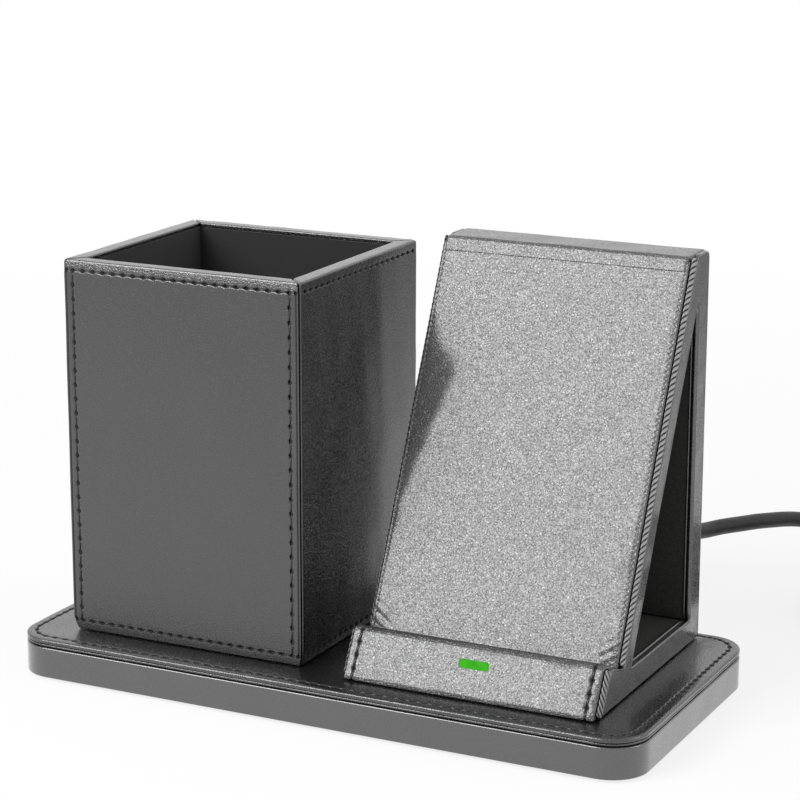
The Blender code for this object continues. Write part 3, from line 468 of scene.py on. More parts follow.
def grid_lines(length, marks, stitched, edge=1.0, stitch=STITCH, extra=()):
    """Places for grid lines over a length: along the seam from stitched[0] to [1], near its
    marks, and close together at the rounded ends."""
    low, high = stitched
    along_seam = np.linspace(low, high, max(1, round((high - low) / stitch)) * LINES_PER_STITCH + 1)
    fixed = np.concatenate([along_seam, [0, length]])
    turn = edge * (1 - np.sin(np.linspace(0, np.pi / 2, 6)))
    near_marks = [mark + np.concatenate([-BESIDE_SEAM, BESIDE_SEAM, [0]]) for mark in marks]
    places = np.concatenate([along_seam, *near_marks, turn, length - turn, extra])
    places = np.unique(np.clip(places, 0, length))
    spare = np.abs(places[:, None] - fixed[None]).min(axis=1)
    places = np.sort(np.concatenate([fixed, places[spare > TOO_CLOSE]]))
    return places[np.append(np.diff(places) > 1e-4, True)]


# %% [markdown]
# ## A sheet of leather
#
# Here the pieces come together. A sheet has an outer line, which is seen, and an inner line
# back to its start. Its way says where a point (a, depth, height) lies in space: straight
# along a wall, or round the base. At an open end the leather is folded, so its surface drops
# there by a quarter circle.

# %% A sheet of leather


def ripple(a, b, seed):
    """Slow unevenness of padded leather, within 0.1 mm: a sum of sines 9 to 40 mm long."""
    waves = np.random.default_rng(seed)
    out = np.zeros(np.broadcast(a, b).shape)
    for _ in range(7):
        angle, size, phase = waves.uniform((0, 9, 0), (math.pi, 40, 2 * math.pi))
        out += np.sin((a * math.cos(angle) + b * math.sin(angle)) * 2 * math.pi / size + phase)
    return 0.016 * out


class Sheet:
    """A leather cover: its outer line, its way through space, its length and its seams."""

    def __init__(self, outer, way, length, fold=0.0, closed=False, seed=1,
                 extra=lambda a, b: 0.0, trench=TRENCH, hole=HOLE):
        self.outer, self.way, self.length, self.fold, self.closed = outer, way, length, fold, closed
        self.seed, self.extra, self.trench, self.hole = seed, extra, trench, hole
        self.arc, self.normals = running(outer), left_normals(outer)
        self.seams, self.grooves = [], []

    def up_to(self, height):
        """Where the outer line first reaches a height."""
        return float(np.interp(height, np.maximum.accumulate(self.outer[:, 1]), self.arc))

    def at(self, a, b, out):
        """The point at a along the sheet, b along its outer line and that far out of the leather. An
        end drops by r - sqrt(r^2 - (r-e)^2) at e from it, for a fold of radius r."""
        a, b, out = np.broadcast_arrays(a, b, out)
        depth, height, nd, nh = (np.interp(b, self.arc, v) for v in (*self.outer.T, *self.normals.T))
        if not self.closed:
            r = self.fold
            inside = np.clip(r - np.minimum(a, self.length - a), 0, r)
            out = out - (r - np.sqrt(r * r - inside * inside))
        return self.way(a, depth + nd * out, height + nh * out)

    def surface(self, a, b):
        """The seen side: the outer line, its unevenness faded out at both ends, and its seams."""
        calm = smoothstep(np.minimum(b, self.arc[-1] - b) / 3)
        deep = pressed(a, b, self.seams + self.grooves, self.trench, self.hole)
        return self.at(a, b, ripple(a, b, self.seed) * calm - deep + self.extra(a, b)), deep

    def made(self, name, a_lines, b_lines, finish=None, inner=(), **more):
        """The sheet as a mesh: a ring at each a, up the outer line and back along the inner one."""
        b_lines = np.unique(np.concatenate([b_lines, self.arc]))
        b_lines = b_lines[np.append(np.diff(b_lines) > 0.02, True)]
        rings, deep = self.surface(a_lines[:, None], b_lines[None, :])
        inner = np.reshape(inner, (-1, 2))
        rings = np.concatenate([rings, self.way(a_lines[:, None], *inner.T[:, None])], axis=1)
        made = loft(name, rings, finish, self.closed, **more)
        keep(made, "pressed", np.pad(deep, ((0, 0), (0, len(inner)))))
        print(f"{name}: {len(a_lines)} x {len(b_lines)} lines")
        return made

    def stitched(self, name, finish=waxed_thread, thickness=0.50, slant=0.16, gap=0.62, rise=0.10):
        """The thread of every seam: each stitch is a short tube, thick in its middle, lying
        slantwise, whose ends dive into their holes by 0.55 (1 - sin pi t)^3."""
        rings, sides = 6, 6
        t = np.linspace(0, 1, rings)[None, :]
        bow = np.sin(math.pi * t)
        starts = np.concatenate([holes[:-1] for holes in self.seams])[:, None]
        ends = np.concatenate([holes[1:] for holes in self.seams])[:, None]
        shift = unit(ends - starts) * gap / 2 + turned_left(ends - starts) * slant
        first, last = starts + shift, ends - shift
        a, b = np.moveaxis(first + (last - first) * t[..., None], -1, 0)
        out = rise * bow - 0.55 * (1 - bow) ** 3 - self.trench + self.extra(a, b) + 0 * a
        middle = self.at(a, b, out)
        up = unit(self.at(a, b, out + 0.1) - middle)
        aside = unit(np.cross(unit(np.gradient(middle, axis=1)), up))
        turn = (np.arange(sides) * 2 * math.pi / sides)[:, None]
        radius = (thickness / 2 * (0.55 + 0.45 * bow))[..., None, None]
        points = middle[:, :, None] + radius * (np.cos(turn) * aside[:, :, None]
                                                + np.sin(turn) * up[:, :, None])
        after = np.arange(len(starts))[:, None, None] * rings * sides
        quads, caps = ((faces + after).reshape(-1, faces.shape[1])
                       for faces in loft_faces(rings, sides))
        print(f"{name}: {len(starts)} stitches")
        return piece(name, points.reshape(-1, 3), quads, caps, finish)


# %% [markdown]
# ## The base
#
# A board under a padded top cover, with a smooth band round its edge. The cover's rim is a
# double bead: the leather rolls over a cord, dips, and rolls once more under it. A dark gap
# parts it from the band. The way runs round the base: on a straight side the middle of the
# bend moves along, and at a corner it stays while the direction turns.

# %% The way round the base
base_low, base_high = box("base_top_cover")
BASE_CORNER = 11.5


def round_the_base(inset):
    """The way round the base, and its length measured on the line that far in from the edge."""
    half = np.array(base_high[:2]) - BASE_CORNER
    middles = np.repeat(np.array([(1, -1), (1, 1), (-1, 1), (-1, -1)]) * half, 13, axis=0)
    turns = (np.repeat(np.arange(4), 13) - 1 + np.tile(np.arange(13) / 12, 4)) * math.pi / 2
    middles, turns = np.concatenate([middles, middles[:1]]), np.append(turns, 3 * math.pi / 2)
    arms = np.stack([np.cos(turns), np.sin(turns)], axis=1)
    arc = running(middles + arms * (BASE_CORNER - inset))

    def way(a, depth, height):
        a, depth, height = np.broadcast_arrays(a, depth, height)
        x, y, turn = (np.interp(a % arc[-1], arc, v) for v in (*middles.T, turns))
        reach = BASE_CORNER - depth
        return np.stack([x + reach * np.cos(turn), y + reach * np.sin(turn), height], axis=-1)

    return way, arc[-1]


# %% The base's top cover and its seam
BASE_SEAM_IN, BASE_TOP_FROM = 3.0, 11.2         # in from the edge: the seam, and the flat middle
TO_SEAM = np.array([-1.6, -1.2, -0.9, -0.65, -0.45, -0.28, -0.13, 0])     # grid lines beside it
low, top = base_low.z, base_high.z
base_way, base_round = round_the_base(BASE_SEAM_IN)
base_sheet = Sheet(softened([
    (2.4, low), (0.12, low, 0.35), (0.08, low + 0.60, 0.30), (0.60, low + 0.72, 0.10),
    (0.0, low + 0.88, 0.25), (0.0, top, 1.15), (BASE_TOP_FROM, top),
]), base_way, base_round, closed=True, seed=3)
seam_up = base_sheet.arc[-1] - (BASE_TOP_FROM - BASE_SEAM_IN)
base_sheet.seams = [seam((0, seam_up), (base_round, seam_up))]
around = np.linspace(0, base_round, (len(base_sheet.seams[0]) - 1) * LINES_PER_STITCH, endpoint=False)
upward = np.unique(np.concatenate([
    base_sheet.arc[:-1], seam_up + TO_SEAM, seam_up - TO_SEAM,
    np.linspace(seam_up - TO_SEAM[0], base_sheet.arc[-1], 7)]))
base_points, base_pressed = base_sheet.surface(around[None, :], upward[:, None])
base_leather = loft("base_top_leather", base_points, replaces=["base_top_cover"])
keep(base_leather, "pressed", base_pressed)
base_sheet.stitched("base_top_stitches")

# %% The base's band
low, top = (corner.z for corner in box("base_side_band"))
band_way, band_round = round_the_base(0)
band_sheet = Sheet(softened([(1.0, low), (0.0, low, 0.45), (0.0, top, 0.55), (1.0, top)]),
                   band_way, band_round, closed=True, seed=4)
band_sheet.made("base_band_leather", np.linspace(0, band_round, 420, endpoint=False),
                np.linspace(0, band_sheet.arc[-1], 9), band_leatherette,
                slot="smooth_leatherette", replaces=["base_side_band"])

# %% [markdown]
# ## The pen box
#
# Each wall has its own cover, cut a little larger than the board and folded over the rim. The front and
# back covers are sewn near all four edges, the two side covers near the top and the bottom. Two covers
# meet in a mitre at each corner: the surfaces roll in towards each other and leave a narrow groove.
# Above the top seam the front and back faces lean back, where the padding ends and the leather is pulled
# over the board's edge.

# %% Ways along a wall
MITRE_GAP = 0.3


def straight(corner, along=(1, 0)):
    """A way along a wall: corner + a along it + the depth to its left + the height up."""
    corner, along, inward = (np.array([*v, 0]) for v in (corner, along, (-along[1], along[0])))

    def way(a, depth, height):
        a, depth, height = (v[..., None] for v in np.broadcast_arrays(a, depth, height))
        return corner + a * along + depth * inward + height * np.array([0, 0, 1])
    return way


def mitred(corner, along, width):
    """A straight way whose ends draw in with the depth, for 45 degree mitres at both ends."""
    plain, length = straight(corner, along), width - MITRE_GAP

    def way(a, depth, height):
        return plain(MITRE_GAP / 2 + depth + a * (1 - 2 * depth / length), depth, height)
    return way, length


def sew(name, sheet, side, low, high, finish=None, thread=None, stitches=(STITCH, STITCH),
        groove=None, extra_a=(), extra_b=(), inner=(), sewn=(0, 1, 2, 3), **more):
    """Makes a sheet with seams along its low edge, far end, high edge and near end, and its thread.
    It has one stitch length along a and another along b."""
    far = sheet.length - side
    corners = [(side, low), (far, low), (far, high), (side, high), (side, low)]
    sheet.seams = [seam(corners[k], corners[k + 1], stitches[k % 2]) for k in sewn]
    marks = [side, far]
    if groove:
        marks += [groove, sheet.length - groove]
        sheet.grooves = [np.array([(a, low), (a, high)]) for a in marks[2:]]
    a_lines = grid_lines(sheet.length, marks, (side, far), sheet.fold, stitches[0], extra_a)
    b_lines = grid_lines(sheet.arc[-1], [low, high], (low, high), 0.4, stitches[1], extra_b)
    sheet.made(name + "_leather", a_lines, b_lines, finish, inner, **more)
    sheet.stitched(name + "_stitches", **(thread or {}))


# %% The four covers of the pen box
COVER, RIM_DEEP, SEAM_IN = 1.2, 5.0, 3.0
left, right = box("box_left_cover")[0].x, box("box_right_cover")[1].x
front, back = box("box_front_cover")[0].y, box("box_back_cover")[1].y
low, top = (corner.z for corner in box("box_front_cover"))
under_fold = [(1.6, low), (1.0, low, 0.3), (0.0, low + 3.2, 1.3)]
rim_fold = [(RIM_DEEP, top, 0.55), (RIM_DEEP, top - COVER)]
front_line = softened([*under_fold, (0.0, top - 2.9, 0.9), (0.62, top, 0.55), *rim_fold])
side_line = softened([*under_fold, (0.0, top, 0.85), *rim_fold])
for seed, (side, corner, along, width) in enumerate([
        ("front", (left, front), (1, 0), right - left), ("right", (right, front), (0, 1), back - front),
        ("back", (right, back), (-1, 0), right - left), ("left", (left, back), (0, -1), back - front)]):
    plain_ends = side in ("left", "right")
    sheet = Sheet(side_line if plain_ends else front_line, *mitred(corner, along, width),
                  fold=1.1 if plain_ends else 0.5, seed=10 + seed)
    sew(f"box_{side}", sheet, SEAM_IN, sheet.up_to(low + SEAM_IN), sheet.up_to(top - SEAM_IN),
        stitches=(3.5, 4.35), groove=None if plain_ends else 0.85, inner=[(COVER, top - COVER)],
        sewn=(0, 2) if plain_ends else (0, 1, 2, 3), replaces=[f"box_{side}_cover"])

# %% [markdown]
# ## The stand's lip
#
# The lip is a core under one piece of leather, which comes up the slanted front, rolls over
# the top and slopes down behind to the charging face. It is padded most in the middle. The
# charging light sits in a small well in it. A seam runs up beside each end, and just beyond
# it the leather is folded round and stops, where the side begins.

# %% The slopes of the lip and the charging face
lip_low, lip_high = box("lip_cover")
charging = next(row for row in frame["record"]["mounts"] if row["name"] == "charging_face")
face_y, face_z = (v / MM for v in charging["pos_m"][1:])
face_slope = -charging["axis"][2] / charging["axis"][1]
LIP_FOOT, LIP_SLOPE = (-38.4, 13.0), 0.55       # its (y, z), and y per z
ROPE_WIDE, ROPE_DEEP = 0.66, 4.0                # the whipped edge, across and back from the face
ROPE_BEHIND, GROOVE = 0.7, 0.12                 # its distance from the face, and from the leather
stand_left, stand_right, foot = lip_low.x, lip_high.x, lip_low.z
stand_wide = stand_right - stand_left
leather_from = ROPE_WIDE + GROOVE
face_wide = stand_wide - 2 * leather_from
face_way = straight((stand_left + leather_from, 0))


def on_panel(z, behind=0.0):
    """Y on the charging face at a height, or that far behind it along Y."""
    return face_y + (z - face_z) * face_slope + behind


def on_lip(z, behind=0.0):
    """Y on the lip's slanted front at a height, or that far behind it."""
    return LIP_FOOT[0] + (z - LIP_FOOT[1]) * LIP_SLOPE + behind


# %% Pockets in leather
POCKET_WALL = 0.24                              # the wall's slope covers this much


def pocket(a, b, middle, wide, high, corner, deep):
    """A pocket pressed into leather: deep times a smooth step of the distance to its edge,
    hypot(max(x, 0), max(y, 0)) + min(max(x, y), 0) - corner for a rounded rectangle."""
    x = np.abs(a - middle[0]) - wide / 2 + corner
    y = np.abs(b - middle[1]) - high / 2 + corner
    edge = np.hypot(np.maximum(x, 0), np.maximum(y, 0)) + np.minimum(np.maximum(x, y), 0) - corner
    return deep * smoothstep(0.5 - edge / POCKET_WALL)


def pocket_lines(middle, size):
    """Grid lines at both edges of a pocket and round its corners."""
    steps = np.array([-1.2, -0.9, -0.6, -0.35, -0.15, -0.05, 0.05, 0.15])
    return np.concatenate([middle - size / 2 - steps, middle + size / 2 + steps])


# %% The lip
LIP_TOP, LEDGE_BACK = (-30.0, 28.0), 23.9       # the roll's corner as (y, z), and the ledge's end
LIP_FRONT, LIP_CROWN = 15.5, 0.4                # its slanted front, and how far that swells
LIGHT_WIDE, LIGHT_HIGH, LIGHT_DEEP = 9.4, 2.6, 0.9
LIGHT_RIGHT, LIGHT_UP = 0.5, 22.25              # right of its solid, and its height
UNDER_RIM = 0.35                                # the pocket is this much smaller than the light
LIP_SEAM_IN, LIP_SEAM_UP, OVER_LIP, LIP_STITCH = 2.6, 1.2, 20.6, 4.1
lip_line = softened([(on_lip(foot, 2.2), foot), (on_lip(foot, 0.1), foot, 1.7), (*LIP_TOP, 2.8),
                     (lip_high.y, LEDGE_BACK)], steps=8)
lip_front = lip_line[:lip_line[:, 1].argmax() + 1]
light_low, light_high = box("light_window")
light_middle = ((light_low.x + light_high.x) / 2 - stand_left - leather_from + LIGHT_RIGHT,
                float(np.interp(LIGHT_UP, lip_front[:, 1], running(lip_front))))


def lip_crown(a, b):
    """The padding over the lip's front: 1 - x^6 across, and a sine up it to the power 0.7."""
    across, up = 2 * a / face_wide - 1, np.clip(b / LIP_FRONT, 0, 1)
    return LIP_CROWN * (1 - across ** 6) * np.sin(math.pi * up) ** 0.7


def lip_padding(a, b):
    """The crown, less the pocket of the light."""
    wide, high = LIGHT_WIDE - UNDER_RIM, LIGHT_HIGH - UNDER_RIM
    return lip_crown(a, b) - pocket(a, b, light_middle, wide, high, high / 2, LIGHT_DEEP)


lip_sheet = Sheet(lip_line, face_way, face_wide, fold=0.5, seed=20, extra=lip_padding, trench=0.30)
lip_ends = (LIP_SEAM_IN, face_wide - LIP_SEAM_IN)
lip_sheet.seams = [seam((side, LIP_SEAM_UP), (side, OVER_LIP), LIP_STITCH) for side in lip_ends]
lip_sheet.made(
    "lip_leather",
    grid_lines(face_wide, lip_ends, lip_ends, lip_sheet.fold,
               extra=pocket_lines(light_middle[0], LIGHT_WIDE)),
    grid_lines(lip_sheet.arc[-1], [], (LIP_SEAM_UP, OVER_LIP), 0.4, LIP_STITCH,
               extra=pocket_lines(light_middle[1], LIGHT_HIGH)),
    lip_leatherette, (lip_line - 1.1 * left_normals(lip_line))[::-1], replaces=["lip_cover"])
lip_sheet.stitched("lip_stitches", thickness=0.44, gap=0.7, rise=0.16)

# %% [markdown]
# ## The charging light
#
# A moulded bar of milky plastic with round ends, lit green from behind. It glows evenly, so
# a little emission does more than a bright lamp would. It has the shape of a stadium: a
# superellipse would look pinched at the ends.

# %% The charging light


def stadium(wide, high, count=40):
    """A closed outline with half-round ends: a circle of the half height, pulled apart sideways."""
    turn = (np.arange(count) + 0.5) * 2 * math.pi / count
    circle = np.stack([np.cos(turn), np.sin(turn)], axis=1) * high / 2
    return circle + np.stack([np.sign(circle[:, 0]) * (wide - high) / 2, 0 * turn], axis=1)


lit_plastic, tree, shader, place = new_material("milky_polycarbonate_lit_green")
haze = add(tree, "TexNoise", {"Vector": place, "Scale": 1 / (2.5 * MM), "Detail": 1.0})
wire(tree, shader, {
    "Base Color": linear("#0b2606"), "Emission Strength": 0.9, "Specular IOR Level": 0.04,
    "Emission Color": between(tree, haze, 0.35, 0.65, "#37ac16", "#43bd20"), "Roughness": 0.6})
lens_rings = []
for inset, out in ((0, -2.8), (0, -0.3), (0, -0.05), (0.04, 0.03), (0.15, 0.07), (0.5, 0.09)):
    a, b = (np.array(light_middle) + stadium(LIGHT_WIDE - 2 * inset, LIGHT_HIGH - 2 * inset)).T
    lens_rings.append(lip_sheet.at(a, b, out + lip_crown(a, b)))
loft("charging_light_lens", np.array(lens_rings), lit_plastic, slot="green_light",
     replaces=["light_window"])

# %% [markdown]
# ## The leaning panel
#
# The leather of this face is pulled flat over the board, with a small crown of padding. Close to each
# side edge the thread comes up in small tight loops, and that thread is coloured grey as a painted
# highlight for the light the loops catch. Where the face meets the ledge at its corners, spare leather
# was folded in, and it creased.

# %% The charging face
low, top = (corner.z for corner in box("panel_front_cover"))
FINE_STITCH, FINE_SEAM_IN = 1.75, 0.95
FACE_LONG, FACE_CROWN = 118, 0.2
CREASE_HIGH, CREASE_APART, CROSSING_APART = 0.24, 2.7, 3.7
CREASED_WIDE, CREASED_HIGH = 4.5, 6.0           # how far from a corner the creases fade


def creases(a, b):
    """A crown, and two crossing sine waves that fade by exp(-x^2 - y^2) from the lower corners."""
    across, up = 2 * a / face_wide - 1, 2 * b / FACE_LONG - 1
    crown = FACE_CROWN * (1 - across ** 6) * (1 - np.clip(up, -1, 1) ** 8)
    corner = np.minimum(a, face_wide - a)
    near = np.exp(-(corner / CREASED_WIDE) ** 2 - (np.maximum(b - 2.5, 0) / CREASED_HIGH) ** 2)
    waves = np.sin((0.55 * corner + 0.85 * b) * 2 * math.pi / CREASE_APART)
    cross = np.sin((corner - 0.35 * b) * 2 * math.pi / CROSSING_APART + 1)
    return crown + CREASE_HIGH * near * (waves + 0.6 * cross) * smoothstep(corner)


panel_sheet = Sheet(
    softened([(on_panel(low, 1.3), low), (on_panel(low, 0.1), low, 0.6), (on_panel(top), top, 0.6),
              (on_panel(top, 1.3), top)]),
    face_way, face_wide, fold=0.45, seed=24, extra=creases, trench=0.0, hole=0.06)
sew("panel_face", panel_sheet, FINE_SEAM_IN, panel_sheet.up_to(low + 2.6),
    panel_sheet.up_to(top - 2.4), lip_leatherette, stitches=(STITCH, FINE_STITCH), sewn=(1, 3),
    thread={"thickness": 0.62, "slant": 0.22, "gap": 0.1, "rise": 0.14, "finish": painted_highlight_thread},
    replaces=["panel_front_cover"])

# %% [markdown]
# ## The sides of the stand
#
# Each side is one flat frame of smooth leather round a three-cornered opening: its foot runs
# from the lip to the back, one limb follows the leaning face and the other the back, and they
# run together near the top. The frame is worked out as two outlines with matching points, the
# outer one and the one of the opening. Its cross-section folds at both, so at each pair of
# points it is the same small profile, stretched to reach.

# %% Matching outlines


def evenly(path, count):
    """That many points at equal steps along a path."""
    path = np.array(path, float)
    arc = running(path)
    at = np.linspace(0, arc[-1], count)
    return np.stack([np.interp(at, arc, v) for v in path.T], axis=1)


def matched(stretches, spacing=1.2):
    """Two closed outlines from pairs of paths, with as many points in both at each stretch."""
    pairs = []
    for pair in stretches:
        longest = max(running(np.array(path, float))[-1] for path in pair)
        count = max(2, round(longest / spacing)) + 1
        pairs.append([evenly(path, count)[:-1] for path in pair])
    return (np.concatenate(outline) for outline in zip(*pairs))


def square_to(outline):
    """The unit normals on the left of a closed outline, from its two neighbours at each point."""
    return turned_left(np.roll(outline, -1, axis=0) - np.roll(outline, 1, axis=0))


# %% The stand's side frames
ROPE_ROOM = 4.9                     # the frames start this far behind the faces
back_front, back_rear = box("back_right_edge")[0].y + 0.75, box("back_outer_cover")[1].y
SIDE_TOP, SILL = 130.8, 20.75       # the heights of the frame's top and of the opening's foot
low_front, low_back = (-11.7, SILL), (back_front, SILL)
front_corner = softened([(on_panel(26, 10.9), 26), (*low_front, 0.9), (-6, SILL)])[1:-1]
back_corner = softened([(29, SILL), (*low_back, 0.5), (back_front, 26)])[1:-1]
apex_turn = softened([(back_front, 109), (back_front, 116.6, 0.7), (34.5, 116.6, 0.7),
                      (31.2, 109.4)])[1:-1]
round_lip = softened([
    (on_panel(26, ROPE_ROOM), 26), (on_panel(22.3, ROPE_ROOM), 22.3, 0.9),
    (on_lip(25.3, ROPE_ROOM), 25.3, 0.9), (on_lip(foot, ROPE_ROOM), foot, 0.4), (-9, foot)])
back_foot = softened([(31, foot), (back_rear, foot, 0.4), (back_rear, 24)])
over_top = softened([(back_rear, 110), (back_rear, SIDE_TOP, 2.2),
                     (on_panel(SIDE_TOP, ROPE_ROOM), SIDE_TOP, 0.8), (on_panel(110, ROPE_ROOM), 110)])
frame_outer, frame_inner = matched([
    (round_lip, front_corner), ([round_lip[-1], back_foot[0]], [front_corner[-1], back_corner[0]]),
    (back_foot, back_corner), ([back_foot[-1], over_top[0]], [back_corner[-1], apex_turn[0]]),
    (over_top, apex_turn), ([over_top[-1], round_lip[0]], [apex_turn[-1], front_corner[0]])])
frame_outer = frame_outer + 1.2 * ripple(*frame_outer.T, 31)[:, None] * square_to(frame_outer)
frame_inner = frame_inner + 1.6 * ripple(*frame_inner.T, 32)[:, None] * square_to(frame_inner)


def side_frame(name, inside, outside, replaced, fold=0.6):
    """The frame at its place along X: a quarter circle at each edge, and flat leather between them that
    sinks a little, unevenly."""
    outward = math.copysign(1, outside - inside)
    profile = [(0.0, inside)] + [
        (fold * (1 - math.cos(t)), outside - outward * fold * (1 - math.sin(t)))
        for t in np.linspace(0, math.pi / 2, 6)]
    rings = [(frame_outer + inset * square_to(frame_outer), x) for inset, x in profile]
    rings_in = [(frame_inner - inset * square_to(frame_inner), x) for inset, x in profile]
    start, end = rings[-1][0], rings_in[-1][0]
    for share in (0.08, 0.2, 0.4, 0.6, 0.8, 0.92):
        flat = start + (end - start) * share
        uneven = 1.5 * ripple(*(flat.T * 2.2), 33)
        rings.append((flat, outside - outward * np.clip(0.05 - uneven, 0, 0.2)))
    points = np.stack([np.column_stack([np.zeros(len(flat)) + x, flat])
                       for flat, x in rings + rings_in[::-1]], axis=1)
    loft(name, points, smooth_leatherette, closed=True, replaces=replaced, sharp=None)


for side, inside, outside in (("left", stand_left + COVER, stand_left),
                              ("right", stand_right - COVER, stand_right)):
    side_frame(f"stand_{side}_side", inside, outside,
               [f"panel_{side}_edge", f"back_{side}_edge", f"stand_floor_{side}_side"])

# %% [markdown]
# ## Whipped edges and piping
#
# Where the front leather meets each side, thread is wound over the joint, which makes a flat rope on the
# side, just behind the face. Its section is an ellipse, and the strands are ridges that climb round it
# as it moves along its path. Each point keeps its height as an attribute of the mesh, which the thread's
# material reads: the strand tops are coloured light grey and glossy as a painted highlight, and the
# colour turns near black down into the gaps between them, partly the dark leather showing there and
# partly painted shade. The plain piping beside the opening is the same tube without ridges, a cord
# inside a folded strip of leather.

# %% Ropes and piping
wound_thread, tree, shader, place = new_material("wound_polyester_thread")
strand_height = add(tree, "Attribute", attribute_name="strand").outputs["Fac"]
fibre = add(tree, "TexNoise", {"Vector": place, "Scale": 1 / (0.3 * MM), "Detail": 2.0})
# Painted highlight and shade: light grey on the strand tops, near black down in the gaps, by the strand
# height.
tone = add(tree, "Math", {0: fibre, 1: 0.25, 2: strand_height}, operation="MULTIPLY_ADD")
wire(tree, shader, {
    "Base Color": between(tree, tone, 0.35, 1.05, "#0a0a0a", "#a9a9aa"),
    "Roughness": add(tree, "MapRange", {"Value": tone, "From Min": 0.35, "From Max": 1.05,
                                        "To Min": 0.95, "To Max": 0.30})})
STRAND, STRAND_HIGH = 1.8, 0.22


def rope(name, path, wide, deep, strand=0.0, hand=1, finish=wound_thread):
    """A tube of section (wide/2 cos u, deep/2 sin u), with s along its path. Its strands are
    sqrt(1 - (x/0.78)^2) high, x from -1 to 1 over each period of s/strand + 3u/2pi."""
    path = np.array(path, float)
    path = evenly(path, round(running(path)[-1] / (strand / 9 if strand else 2)) + 1)
    at, along = running(path), unit(np.gradient(path, axis=0))
    aside = np.tile(np.array([1.0, 0, 0]), (len(path), 1))
    up = unit(np.cross(aside, along))
    sides = 36 if strand else 14
    u = np.arange(sides)[None, :] * 2 * math.pi / sides
    height = np.ones((len(path), sides))
    if strand:
        x = 2 * ((at[:, None] / strand + hand * 3 * u / (2 * math.pi)) % 1) - 1
        height = np.sqrt(np.clip(1 - (x / 0.78) ** 2, 0, 1))
    taper = np.clip(np.minimum(at, at[-1] - at) / wide + 0.4, 0, 1)[:, None]
    sunk = STRAND_HIGH * (height - 1)
    points = path[:, None] + (taper * (wide / 2 + sunk) * np.cos(u))[..., None] * aside[:, None] + (
        taper * (deep / 2 + sunk) * np.sin(u))[..., None] * up[:, None]
    keep(loft(name, points, finish, sharp=None), "strand", height)


to_rope = ROPE_BEHIND + ROPE_DEEP / 2
lip_behind, panel_behind = (to_rope * math.hypot(1, slope) for slope in (LIP_SLOPE, face_slope))
for side, edge, inward in (("left", stand_left, 1), ("right", stand_right, -1)):
    x = edge + inward * ROPE_WIDE / 2
    rope(f"lip_{side}_whipping", [(x, on_lip(z, lip_behind), z) for z in (foot + 0.5, 25.4)],
         ROPE_WIDE, ROPE_DEEP, STRAND, inward)
    rope(f"panel_{side}_whipping", [(x, on_panel(z, panel_behind), z) for z in (23.4, 130.3)],
         ROPE_WIDE, ROPE_DEEP, STRAND, -inward)
    for name, aside, thick, ends in (
            (f"back_{side}_piping", 0.62, 1.1, [(back_front - 0.4, 20.9), (back_front - 0.4, 115.5)]),
            (f"back_{side}_bead", 1.7, 0.6, [(back_front - 0.85, 21.0), (back_front - 0.85, 115.0)]),
            (f"floor_{side}_piping", 2.1, 1.0, [(-10.8, 20.8), (33.4, 20.8)])):
        rope(name, [(edge + inward * aside, *end) for end in ends], thick, thick,
             finish=smooth_leatherette)

# %% [markdown]
# ## The back and the top
#
# The back is one plain cover, sewn like the box, with a well where the cable's socket comes
# through. A cap is pulled over the top of both panels and a little way down them, and its ends
# are rounded off and tucked behind the side frames.

# %% The back cover
back_high = box("back_outer_cover")[1]
socket_low, socket_high = box("charging_socket")
BACK_IN = COVER + 0.1               # the sides come round beside the back cover
socket_middle = (stand_right - BACK_IN - (socket_low.x + socket_high.x) / 2,
                 (socket_low.z + socket_high.z) / 2 - foot + COVER - 0.35)
SOCKET_WIDE, SOCKET_HIGH = socket_high.x - socket_low.x + 0.5, socket_high.z - socket_low.z + 0.5
back_sheet = Sheet(
    softened([(COVER, foot), (0.1, foot, 0.5), (0.0, back_high.z, 0.7), (COVER, back_high.z)]),
    straight((stand_right - BACK_IN, back_high.y), (-1, 0)), stand_wide - 2 * BACK_IN, fold=0.5,
    seed=41, extra=lambda a, b: -pocket(a, b, socket_middle, SOCKET_WIDE, SOCKET_HIGH, 0.5, 1.12))
sew("back_outer", back_sheet, SEAM_IN, back_sheet.up_to(foot + SEAM_IN),
    back_sheet.up_to(back_high.z - SEAM_IN), extra_a=pocket_lines(socket_middle[0], SOCKET_WIDE),
    extra_b=pocket_lines(socket_middle[1], SOCKET_HIGH), replaces=["back_outer_cover"])

# %% The top cap
cap_back, top = box("stand_top_cap")[1][1:]
SKIRT, CAP_IN = 126.9, COVER + 0.05
cap_sheet = Sheet(softened([
    (on_panel(SKIRT, 2.6), SKIRT), (on_panel(SKIRT, -0.25), SKIRT, 0.4),
    (on_panel(top, -0.1), top, 1.0), (cap_back, top, 1.6), (cap_back, SKIRT, 0.4),
    (cap_back - 2.6, SKIRT),
]), straight((stand_left + CAP_IN, 0)), stand_wide - 2 * CAP_IN, fold=0.7, seed=43)
cap_sheet.made("stand_top_leather",
               grid_lines(cap_sheet.length, [], (2, cap_sheet.length - 2), cap_sheet.fold),
               np.linspace(0, cap_sheet.arc[-1], 40), lip_leatherette, replaces=["stand_top_cap"])

# %% [markdown]
# ## Feet, plugs and the tie
#
# These are moulded or turned, so each is rings along an axis: circles for the feet and the
# strain reliefs, and superellipses for the plug bodies, whose sides are nearly flat and whose
# corners are soft. Ribs let a strain relief bend in small steps instead of kinking.

# %% Moulded pieces


def superellipse(power, count=36):
    """A closed outline within +-1: (|cos u|^(2/p), |sin u|^(2/p)), each with its sign."""
    u = (np.arange(count) + 0.5) * 2 * math.pi / count
    return np.stack([np.sign(f) * np.abs(f) ** (2 / power) for f in (np.cos(u), np.sin(u))], axis=1)


